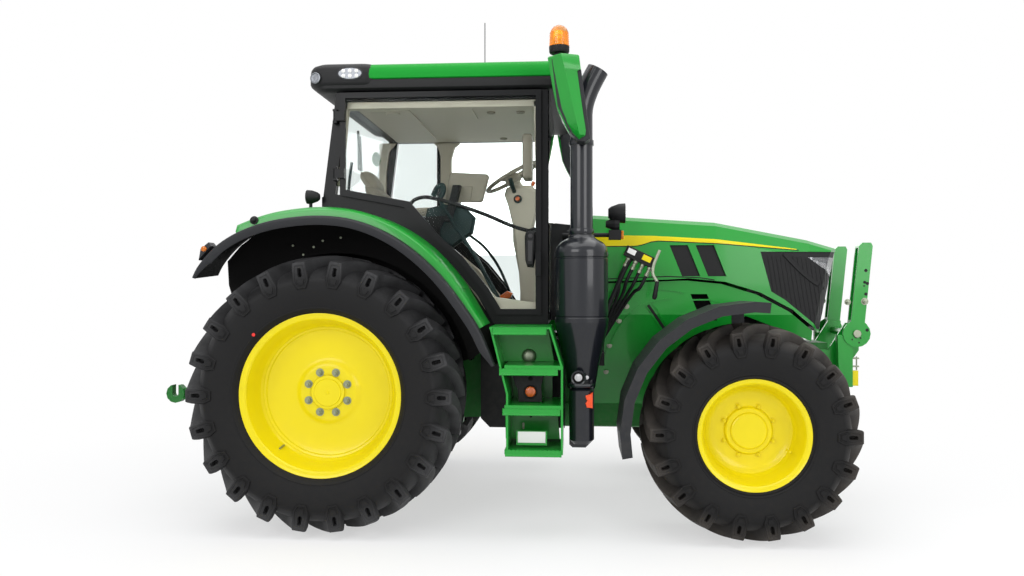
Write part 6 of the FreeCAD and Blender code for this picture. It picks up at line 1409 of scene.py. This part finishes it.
# %% Terminal, rails and door furniture
case = side_plate([(0.640, 2.140), (0.672, 2.318), (0.684, 2.332), (0.935, 2.318), (0.950, 2.300),
                   (0.905, 2.132), (0.890, 2.122), (0.655, 2.128)], -0.345, -0.300, 0.010)
bracket = side_plate([(0.730, 2.120), (0.745, 2.235), (0.835, 2.230), (0.820, 2.118)], -0.356, -0.345, 0.004)
display = soft_box(at(1.200, -0.600, 2.250), at(1.262, -0.420, 2.552), 0.02, "x")
piece("terminal", *join([case, bracket, display]), "chassis", TAUPE, "cream_trim")
screen = [side_plate([(0.690, 2.145), (0.712, 2.305), (0.915, 2.295), (0.882, 2.138)], -0.300, -0.297, 0.001),
          soft_box(at(1.1975, -0.585, 2.265), at(1.2005, -0.435, 2.535), 0.012, "x")]
piece("screens", *join(screen), "chassis", SATIN, "black_plastic")
rails = [
    pipe(curved([at(0.560, -0.360, 2.165), at(0.590, -0.370, 2.228), at(0.632, -0.380, 2.240),
                 at(0.636, -0.390, 2.190), at(0.606, -0.400, 2.135)], 0.4, 5), 0.020, 12),
    pipe([at(0.620, -0.450, 2.125), at(0.726, -0.450, 1.951), at(0.867, -0.470, 1.740),
          at(1.036, -0.500, 1.446)],
         0.0125, 10),
    pipe(curved([at(0.735, 0.200, 1.930), at(0.860, 0.200, 1.840), at(0.975, 0.200, 1.680),
                 at(1.056, 0.200, 1.480)],
                0.45, 6), 0.011, 10),
    pipe([at(0.870, -0.440, 1.735), at(1.040, -0.510, 1.420)], 0.024, 10, flat=0.5),
    side_plate([(0.500, 1.990), (0.520, 2.075), (0.640, 2.105), (0.790, 2.080), (0.860, 2.010),
                (0.840, 1.900), (0.700, 1.800), (0.560, 1.860)], -0.400, -0.330, 0.02),
]
piece("cab_rails", *join(rails), "chassis", TEAL, "black_plastic")
door_rail = pipe(curved([at(0.455, -0.800, 1.985), at(0.492, -0.790, 2.090), at(0.572, -0.785, 2.116),
                         at(0.681, -0.785, 2.094), at(0.951, -0.785, 2.006), at(1.153, -0.785, 1.915),
                         at(1.285, -0.790, 1.880)], 0.4, 5), 0.0125, 12)
latch = side_plate([(1.232, 1.700), (1.245, 1.655), (1.285, 1.650), (1.300, 1.740), (1.318, 1.765),
                    (1.320, 1.895), (1.290, 1.910), (1.240, 1.895), (1.228, 1.850)], -0.832, -0.790, 0.010)
outer = side_plate([(1.236, 1.700), (1.248, 1.662), (1.284, 1.662), (1.296, 1.760), (1.292, 1.880),
                    (1.244, 1.880)],
                   -0.884, -0.843, 0.010)
shapes = join([door_rail, latch, outer])
button = join([lathe([(0, 0), (0, 0.014), (0.006, 0.013), (0.008, 0)], at(1.268, -0.8845, 1.850),
                     TO_RIGHT, 20),
               side_plate([(1.255, 1.690), (1.276, 1.690), (1.282, 1.820), (1.252, 1.820)], -0.8880,
                          -0.884, 0.002)])
piece("door_furniture_right", *shapes, "door_right", BLACK, "black_plastic")
piece("door_latch_right", *button, "door_right", DARK_STEEL, "bright_steel")
piece("door_furniture_left", *flipped(join([latch, outer])), "door_left", BLACK, "black_plastic")
piece("door_latch_left", *flipped(button), "door_left", DARK_STEEL, "bright_steel")
print("cab furnished")

# %% [markdown]
# Behind the seat a wiper hangs from the top of the rear window, and a small round mirror hangs
# beside it. Outside, a round lamp sits at each rear corner of the roof.

# %% Rear window and roof corner
rear = [pipe([at(-0.078, 0.02, 2.700), at(-0.068, 0.0, 2.560), at(-0.062, -0.02, 2.400)], 0.009, 8),
        pipe([at(-0.070, 0.03, 2.660), at(-0.058, 0.03, 2.400)], 0.006, 8, flat=2.0),
        pipe(curved([at(-0.070, -0.30, 2.130), at(-0.060, -0.28, 2.300), at(-0.050, -0.26, 2.420)], 0.4,
                    4), 0.012, 8)]
piece("rear_wiper", *join(rear), "chassis", TEAL, "black_plastic")
inside_mirror = lathe([(0, 0), (0, 0.050), (0.008, 0.058), (0.012, 0.055), (0.012, 0)],
                      at(-0.060, 0.500, 2.560), (0.93, -0.36, 0), 32)
piece("inside_mirror", *inside_mirror, "chassis", GREEN_CAST, "green_paint")
corner_lamp = lathe([(0, 0), (0, 0.036), (0.008, 0.036), (0.010, 0.030), (0.005, 0.027),
                     (0.003, 0.012), (0.006, 0)],
             at(-0.122, -0.8670, 2.877), (-0.25, -1, 0), 32)
pair("roof_corner_lamp", [corner_lamp], "chassis", BOWL_GREY, "bright_steel")
print("rear window dressed")

# %% [markdown]
# The roof is a crowned green shell on a black eave. A black moulding wraps round the whole rear end
# and holds an oval lamp with six small bulbs and a round lamp at each corner. All three are rounded
# outlines stacked one above another.

# %% Roof shell, eave and rear moulding
def stacked(x0, x1, half, radius, levels):
    """A closed form from rounded outlines: levels of (height, inset) from bottom to top."""
    corners, count = [], 0
    for height, inset in levels:
        bend = max(radius - inset*0.5, 0.01)
        ring = []
        for x, y, quarter in ((x1 - inset - bend, half - inset - bend, 0),
                              (x0 + inset + bend, half - inset - bend, 1),
                              (x0 + inset + bend, inset + bend - half, 2),
                              (x1 - inset - bend, inset + bend - half, 3)):
            for step in range(7):
                turn = math.pi/2*(quarter + step/6)
                ring.append(at(x + bend*math.cos(turn), y + bend*math.sin(turn), height))
        corners += ring
        count = len(ring)
    faces = [(row*count + spot, row*count + (spot + 1) % count, (row + 1)*count + (spot + 1) % count,
              (row + 1)*count + spot) for row in range(len(levels) - 1) for spot in range(count)]
    last = (len(levels) - 1)*count
    return corners, faces + [tuple(range(count - 1, -1, -1)), tuple(range(last, last + count))]


shell = stacked(-0.160, 1.518, 0.862, 0.10, [(2.868, 0.012), (2.874, 0.002), (2.900, 0.0), (2.935, 0.006),
                                             (2.958, 0.022), (2.972, 0.05), (2.982, 0.10), (2.989, 0.20),
                                             (2.992, 0.40)])
made = piece("roof_shell", *shell, "chassis", ROOF_GREEN, "roof_green")
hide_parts("cab_roof")
eave = stacked(-0.150, 1.512, 0.858, 0.09, [(2.792, 0.05), (2.798, 0.02), (2.812, 0.004), (2.850, 0.0),
                                            (2.866, 0.004), (2.870, 0.02)])
wrap = stacked(-0.185, 0.300, 0.868, 0.11, [(2.806, 0.060), (2.816, 0.030), (2.836, 0.006), (2.850, 0.0),
                                            (2.905, 0.0), (2.940, 0.004), (2.962, 0.018), (2.976, 0.045),
                                            (2.984, 0.090)])
aerial = join([pipe([at(0.938, -0.500, 2.990), at(0.938, -0.500, 3.3235)], 0.0030, 8),
               lathe([(0, 0), (0, 0.012), (0.012, 0.009), (0.022, 0.005), (0.022, 0)],
                     at(0.938, -0.500, 2.988), (0, 0, 1), 16)])
made = piece("roof_eave", *join([eave, wrap, aerial]), "chassis", BLACK, "black_plastic")
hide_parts("roof_trim")


EAVE_LAMP_X, EAVE_LAMP_Z = 0.104, 2.903


def oval(y, wide, tall, thick):
    """An oval plate round the eave lamp's middle, with its face at y."""
    turns = [2*math.pi*step/40 for step in range(40)]
    ring = [(REAR_X + EAVE_LAMP_X + math.cos(turn)*wide, EAVE_LAMP_Z + math.sin(turn)*tall) for turn in turns]
    return plate(ring, y - thick, y, "y", soft=thick/3)


bulbs = [lathe([(0, 0.013), (0.005, 0.012), (0.008, 0.007), (0.009, 0)],
               at(EAVE_LAMP_X + across, -0.871, EAVE_LAMP_Z + up), TO_RIGHT, 20)
         for across in (-0.043, 0.0, 0.043) for up in (-0.016, 0.016)]
piece("eave_lamp_bezel", *both_sides(oval(-0.866, 0.086, 0.045, 0.005)), "chassis", GREY, "black_plastic")
piece("eave_lamp_bowl", *both_sides(oval(-0.868, 0.076, 0.036, 0.004)), "chassis", BOWL_GREY, "lens")
pair("eave_lamp_bulbs", bulbs, "chassis", WHITE_PLATE, "lens")
print("roof made")

# %% [markdown]
# The rear fenders are pressed shells. A green crown rolls over at its outer edge, a grey lip runs round below
# it, and a near-black liner closes the arch; its black is partly the liner's own colour and partly painted
# shade under the arch. Each is one section swept along the same line, which runs from the rear tip over the
# wheel and down to the steps.

# %% Sweep a section along the wheel arch
ARCH = [(-0.775, 1.585), (-0.744, 1.652), (-0.655, 1.754), (-0.574, 1.815), (-0.486, 1.862), (-0.384, 1.901),
        (-0.267, 1.932), (-0.092, 1.954), (0.053, 1.955), (0.197, 1.938), (0.340, 1.892), (0.483, 1.820),
        (0.626, 1.714), (0.767, 1.576), (0.894, 1.403), (0.979, 1.277), (1.040, 1.135), (1.072, 1.060)]


def swept(path, section, growth=None):
    """Sweep a ring of (y, outward offset) along the path; growth scales the offsets on the way."""
    line = curved([Vector((REAR_X + x, 0, z)) for x, z in path], 0.5, 3)
    corners, faces = [], []
    for spot, point in enumerate(line):
        along = (line[min(spot + 1, len(line) - 1)] - line[max(spot - 1, 0)]).normalized()
        outward = Vector((-along.z, 0, along.x))
        scale = growth(spot/(len(line) - 1)) if growth else 1.0
        corners += [point + outward*offset*scale + Vector((0, y, 0)) for y, offset in section]
    count = len(section)
    for spot in range(len(line) - 1):
        for side in range(count):
            after = (side + 1) % count
            faces.append((spot*count + side, spot*count + after, (spot + 1)*count + after,
                          (spot + 1)*count + side))
    last = (len(line) - 1)*count
    faces += [tuple(range(count - 1, -1, -1)), tuple(range(last, last + count))]
    return corners, faces


def tapering(share):
    """Full in the middle and slimmer at both tips."""
    return 0.35 + 0.65*min(1.0, share/0.08, (1 - share)/0.05)


lip_section = [(-1.166, 0.004), (-1.222, 0.004), (-1.234, 0.000), (-1.240, -0.010), (-1.239, -0.030),
               (-1.230, -0.052), (-1.224, -0.053), (-1.228, -0.030), (-1.226, -0.012), (-1.166, -0.008)]
crown_section = [(-1.166, -0.012), (-1.172, -0.012), (-1.174, 0.020), (-1.168, 0.044), (-1.152, 0.058),
                 (-1.115, 0.066), (-0.764, 0.070), (-0.764, 0.062), (-1.115, 0.058), (-1.148, 0.050),
                 (-1.162, 0.038), (-1.166, 0.018)]
# The liner's near-black is partly its own colour and partly painted shade under the arch.
liner_section = [(-1.232, -0.008), (-0.764, 0.055), (-0.764, 0.044), (-1.228, -0.016)]
crown_path = [(-0.520, 1.846)] + [(x, z) for x, z in ARCH if -0.50 < x < 1.0]
lip = swept(ARCH, lip_section, tapering)
crown = swept(crown_path, crown_section, lambda share: 0.55 + 0.45*min(1.0, share/0.02, (1 - share)/0.25))
liner = swept(ARCH, liner_section)
made = pair("fender_lips", [lip], "chassis", GREY, "black_plastic")
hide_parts("fender_flares")
made = pair("fender_crowns", [crown], "chassis", GREEN, "green_paint")
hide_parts("rear_fenders")
print("arch points", len(ARCH), "crown", len(crown[0]), "corners")

# %% [markdown]
# The liner's side wall is one black plate with a row of small fasteners. A black knob stands on the
# crown, a small amber lamp on the lip's rear, and a panel closes the cab below its rear window.

# %% Fender wall and fittings
AXLE_HEIGHT = 0.865


def arc(reach, turns=range(12, 143, 5)):
    """Points round the rear axle, at the given turns in degrees from straight ahead."""
    return [(REAR_X + reach*math.cos(math.radians(turn)), AXLE_HEIGHT + reach*math.sin(math.radians(turn)))
            for turn in turns]


wall_line = [(REAR_X + x, z + 0.045) for x, z in ARCH[1:17]]
wall_line += arc(0.884)
wall_line.append((REAR_X - 0.735, 1.540))
wall = plate(wall_line, -0.782, -0.764)
# Painted shade: the black band over the tyre and the black plate behind it stand where the arch lies in shade
# between the tyre and the cab.
well = plate(arc(0.888) + arc(0.896, range(142, 11, -5)), -0.770, -0.602)
side = plate(arc(0.620) + arc(0.892, range(142, 11, -5)), -0.608, -0.602)
pair("fender_liners_and_arch_shade", [liner, wall, well, side], "chassis", PITCH, "black_plastic")
screws = [bolt(at(x, -0.7825, z), TO_RIGHT, 0.016, washer=False)
          for x, z in ((-0.300, 1.800), (-0.230, 1.740), (-0.160, 1.790), (-0.100, 1.830), (0.020, 1.850))]
pair("liner_screws", screws, "chassis", NUT_METAL, "bright_steel")
knob = lathe([(0, 0), (0, 0.026), (0.008, 0.026), (0.012, 0.018), (0.026, 0.016), (0.030, 0.010), (0.030, 0)],
             at(-0.411, -1.168, 1.935), (0, -1, 0.25), 20)
pair("fender_knobs", [knob], "chassis", BLACK, "black_plastic")
holder = side_plate([(-0.742, 1.690), (-0.662, 1.776), (-0.680, 1.800), (-0.730, 1.760)], -1.222,
                    -1.130, 0.006)
pair("fender_lamp_holders", [holder], "chassis", GREY, "black_plastic")
small_lamp = lathe([(0, 0), (0, 0.017), (0.006, 0.016), (0.010, 0.010), (0.011, 0)],
                   at(-0.706, -1.223, 1.760), TO_RIGHT, 24)
pair("fender_lamps", [small_lamp], "chassis", AMBER, "amber")
back = [plate([(-0.600, 1.300), (0.600, 1.300), (0.600, 1.780), (0.755, 1.800), (0.755, 2.030),
               (-0.755, 2.030), (-0.755, 1.800), (-0.600, 1.780)], REAR_X - 0.106, REAR_X - 0.097,
              "x", soft=0.0)]
back += [soft_box(at(-0.112, y - 0.012, 1.40), at(-0.104, y + 0.012, 1.95), 0.006, "x")
         for y in (-0.5, -0.25, 0, 0.25, 0.5)]
piece("cab_back_panel", *join(back), "chassis", BLACK, "black_plastic")
print("fender fittings", len(screws))

# %% [markdown]
# Each outside mirror is a tall folded cover with a ridge down its outer side. A dark housing shows
# below its front edge, and the glass looks backwards. The cover is made of sections stacked in
# height, because its ridge and both edges lean by different amounts.

# %% Mirror heads
RIDGE_Y, EDGE_Y, FRONT_Y, BACK_Y = -1.225, -1.150, -1.180, -1.055
cover_levels = [(2.405, 1.572, 1.576, 1.580), (2.428, 1.540, 1.574, 1.610), (2.458, 1.514, 1.569, 1.614),
                (2.530, 1.474, 1.551, 1.602), (2.611, 1.439, 1.533, 1.590), (2.740, 1.413, 1.505, 1.572),
                (2.812, 1.401, 1.489, 1.562), (2.822, 1.399, 1.487, 1.584), (2.900, 1.386, 1.468, 1.574),
                (2.908, 1.392, 1.470, 1.568)]
corners = []
for height, rear, ridge, front in cover_levels:
    inward = 0.045 if height < 2.41 else 0.006 if height < 2.44 or height > 2.905 else 0.0
    corners += [at(rear, EDGE_Y + inward/2, height), at(ridge, RIDGE_Y + inward, height),
                at(front, FRONT_Y + inward/2, height), at(front, BACK_Y, height), at(rear, BACK_Y, height)]
rows = len(cover_levels)
faces = [(row*5 + spot, (row + 1)*5 + spot, (row + 1)*5 + (spot + 1) % 5, row*5 + (spot + 1) % 5)
         for row in range(rows - 1) for spot in range(5)]
faces += [(0, 1, 2, 3, 4), tuple(range(rows*5 - 1, rows*5 - 6, -1))]
cover = (corners, [face[::-1] for face in faces])
housing = side_plate([(1.410, 2.890), (1.560, 2.890), (1.587, 2.815), (1.640, 2.411),
                      (1.610, 2.392), (1.566, 2.398), (1.516, 2.455), (1.445, 2.611)],
                     -1.172, -1.045, 0.003)
stalk = pipe([at(1.425, -1.100, 2.831), at(1.425, -0.880, 2.831)], 0.019, 16)
neck = lathe([(0, 0), (0, 0.030), (0.014, 0.030), (0.014, 0)], BEACON_SPOT - Vector((0, 0, 0.014)), "z", 24)
piece("mirror_housings", *join([both_sides(join([housing, stalk])), neck]), "chassis", GREY, "black_plastic")
made = pair("mirror_covers", [cover], "chassis", GREEN, "green_paint")
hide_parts("mirrors")
pane = [at(x - 0.004, y, z)
        for x, z in ((1.405, 2.870), (1.425, 2.740), (1.446, 2.611), (1.482, 2.530), (1.509, 2.478))
        for y in (-1.142, -1.066)]
pane += [corner + Vector((0.004, 0, 0)) for corner in pane]
sides = [(0, 1, 3, 2), (2, 3, 5, 4), (4, 5, 7, 6), (6, 7, 9, 8)]
sides += [tuple(spot + 10 for spot in face[::-1]) for face in sides]
sides += [(0, 2, 12, 10), (2, 4, 14, 12), (4, 6, 16, 14), (6, 8, 18, 16), (1, 11, 13, 3), (3, 13, 15, 5),
          (5, 15, 17, 7), (7, 17, 19, 9), (0, 10, 11, 1), (8, 9, 19, 18)]
piece("mirror_panes", *both_sides((pane, sides)), "chassis", REFLECTOR, "glass")
print("mirrors made")

# %% [markdown]
# The camera stands level with the hood, well back from the right side, and looks straight across
# with a slight turn towards the rear. Its lens is a moderate wide angle.

# %% Camera
camera_data = bpy.data.cameras.new("Camera")
camera_data.lens = 29.64
camera_data.sensor_width = 36
camera_data.clip_end = 200
camera = bpy.data.objects.new("Camera", camera_data)
bpy.context.scene.collection.objects.link(camera)
camera.location = at(1.554, -6.204, 1.521)
camera.rotation_euler = (math.radians(90), 0, 0.0755)
bpy.context.scene.camera = camera
print("camera at", [round(value, 3) for value in camera.location])

# %% [markdown]
# The studio is a pale floor that fades into a white background, one broad soft light overhead, two
# from the camera's side and a weak one behind. The white of the background is only for the camera,
# for mirrors and for glass, so it adds no light to the tractor.

# %% Studio
def seen_directly(tree):
    """1 for rays that show the background: from the camera, by reflection or through glass."""
    path = add_node(tree, "LightPath").outputs
    total = path["Is Camera Ray"]
    for label in ("Is Glossy Ray", "Is Transmission Ray"):
        total = add_node(tree, "Math", {0: total, 1: path[label]}, operation="MAXIMUM").outputs[0]
    return total


def studio_world():
    world = bpy.data.worlds.new("Studio")
    bpy.context.scene.world = world
    world.use_nodes = True
    tree = world.node_tree
    backdrop = tree.nodes["Background"]
    backdrop.inputs["Color"].default_value = (1, 1, 1, 1)
    fill = add_node(tree, "Background", values={"Color": (0.95, 0.97, 1.0, 1), "Strength": 0.45})
    mix = add_node(tree, "MixShader",
                   {"Fac": seen_directly(tree), 1: fill.outputs[0], 2: backdrop.outputs[0]})
    tree.links.new(mix.outputs[0], tree.nodes["World Output"].inputs["Surface"])


FLOOR_REACH = 60


def studio_floor():
    """Pale floor that keeps the shadow close to the tractor and melts into the background beyond."""
    material = bpy.data.materials.new("studio_floor")
    material.use_nodes = True
    tree = material.node_tree
    shader = tree.nodes["Principled BSDF"]
    for label, value in (("Base Color", (0.92, 0.92, 0.92, 1)), ("Roughness", 0.8),
                         ("Specular IOR Level", 0.1)):
        shader.inputs[label].default_value = value
    glow = add_node(tree, "Emission")
    place = add_node(tree, "TexCoord").outputs["Object"]
    away = add_node(tree, "VectorMath", {0: place}, operation="LENGTH").outputs["Value"]
    fade = add_node(tree, "MapRange", {"Value": away}, {"From Min": 1.5, "From Max": 5.0, "To Min": 0.55,
                                                        "To Max": 1.0}, interpolation_type="SMOOTHSTEP")
    share = add_node(tree, "Math", {0: seen_directly(tree), 1: fade.outputs[0]}, operation="MULTIPLY")
    mix = add_node(tree, "MixShader", {"Fac": share.outputs[0], 1: shader.outputs[0], 2: glow.outputs[0]})
    tree.links.new(mix.outputs[0], tree.nodes["Material Output"].inputs["Surface"])
    mesh = bpy.data.meshes.new("floor")
    mesh.from_pydata([(x*FLOOR_REACH, y*FLOOR_REACH, 0) for x, y in ((-1, -1), (1, -1), (1, 1), (-1, 1))], [],
                     [(0, 1, 2, 3)])
    mesh.materials.append(material)
    floor = bpy.data.objects.new("floor", mesh)
    bpy.context.scene.collection.objects.link(floor)


def lamp(name, place, aim, width, height, power):
    data = bpy.data.lights.new(name, "AREA")
    data.shape, data.size, data.size_y, data.energy = "RECTANGLE", width, height, power
    made = bpy.data.objects.new(name, data)
    made.location = place
    made.rotation_euler = (Vector(aim) - Vector(place)).to_track_quat("-Z", "Y").to_euler()
    bpy.context.scene.collection.objects.link(made)


studio_world()
studio_floor()
lamp("overhead", (0.3, -1.0, 7.0), (0, 0, 1), 9, 7, 420)
lamp("camera_side", (-4.0, -8.5, 4.5), (0, 0, 1.2), 5, 4, 260)
lamp("camera_side_front", (5.5, -7.5, 3.5), (0.4, 0, 1.2), 4, 4, 200)
lamp("behind", (1.0, 8.0, 4.0), (0, 0, 1.2), 6, 4, 160)
bpy.context.scene.view_settings.view_transform = "Standard"
print("lights", len(bpy.data.lights))
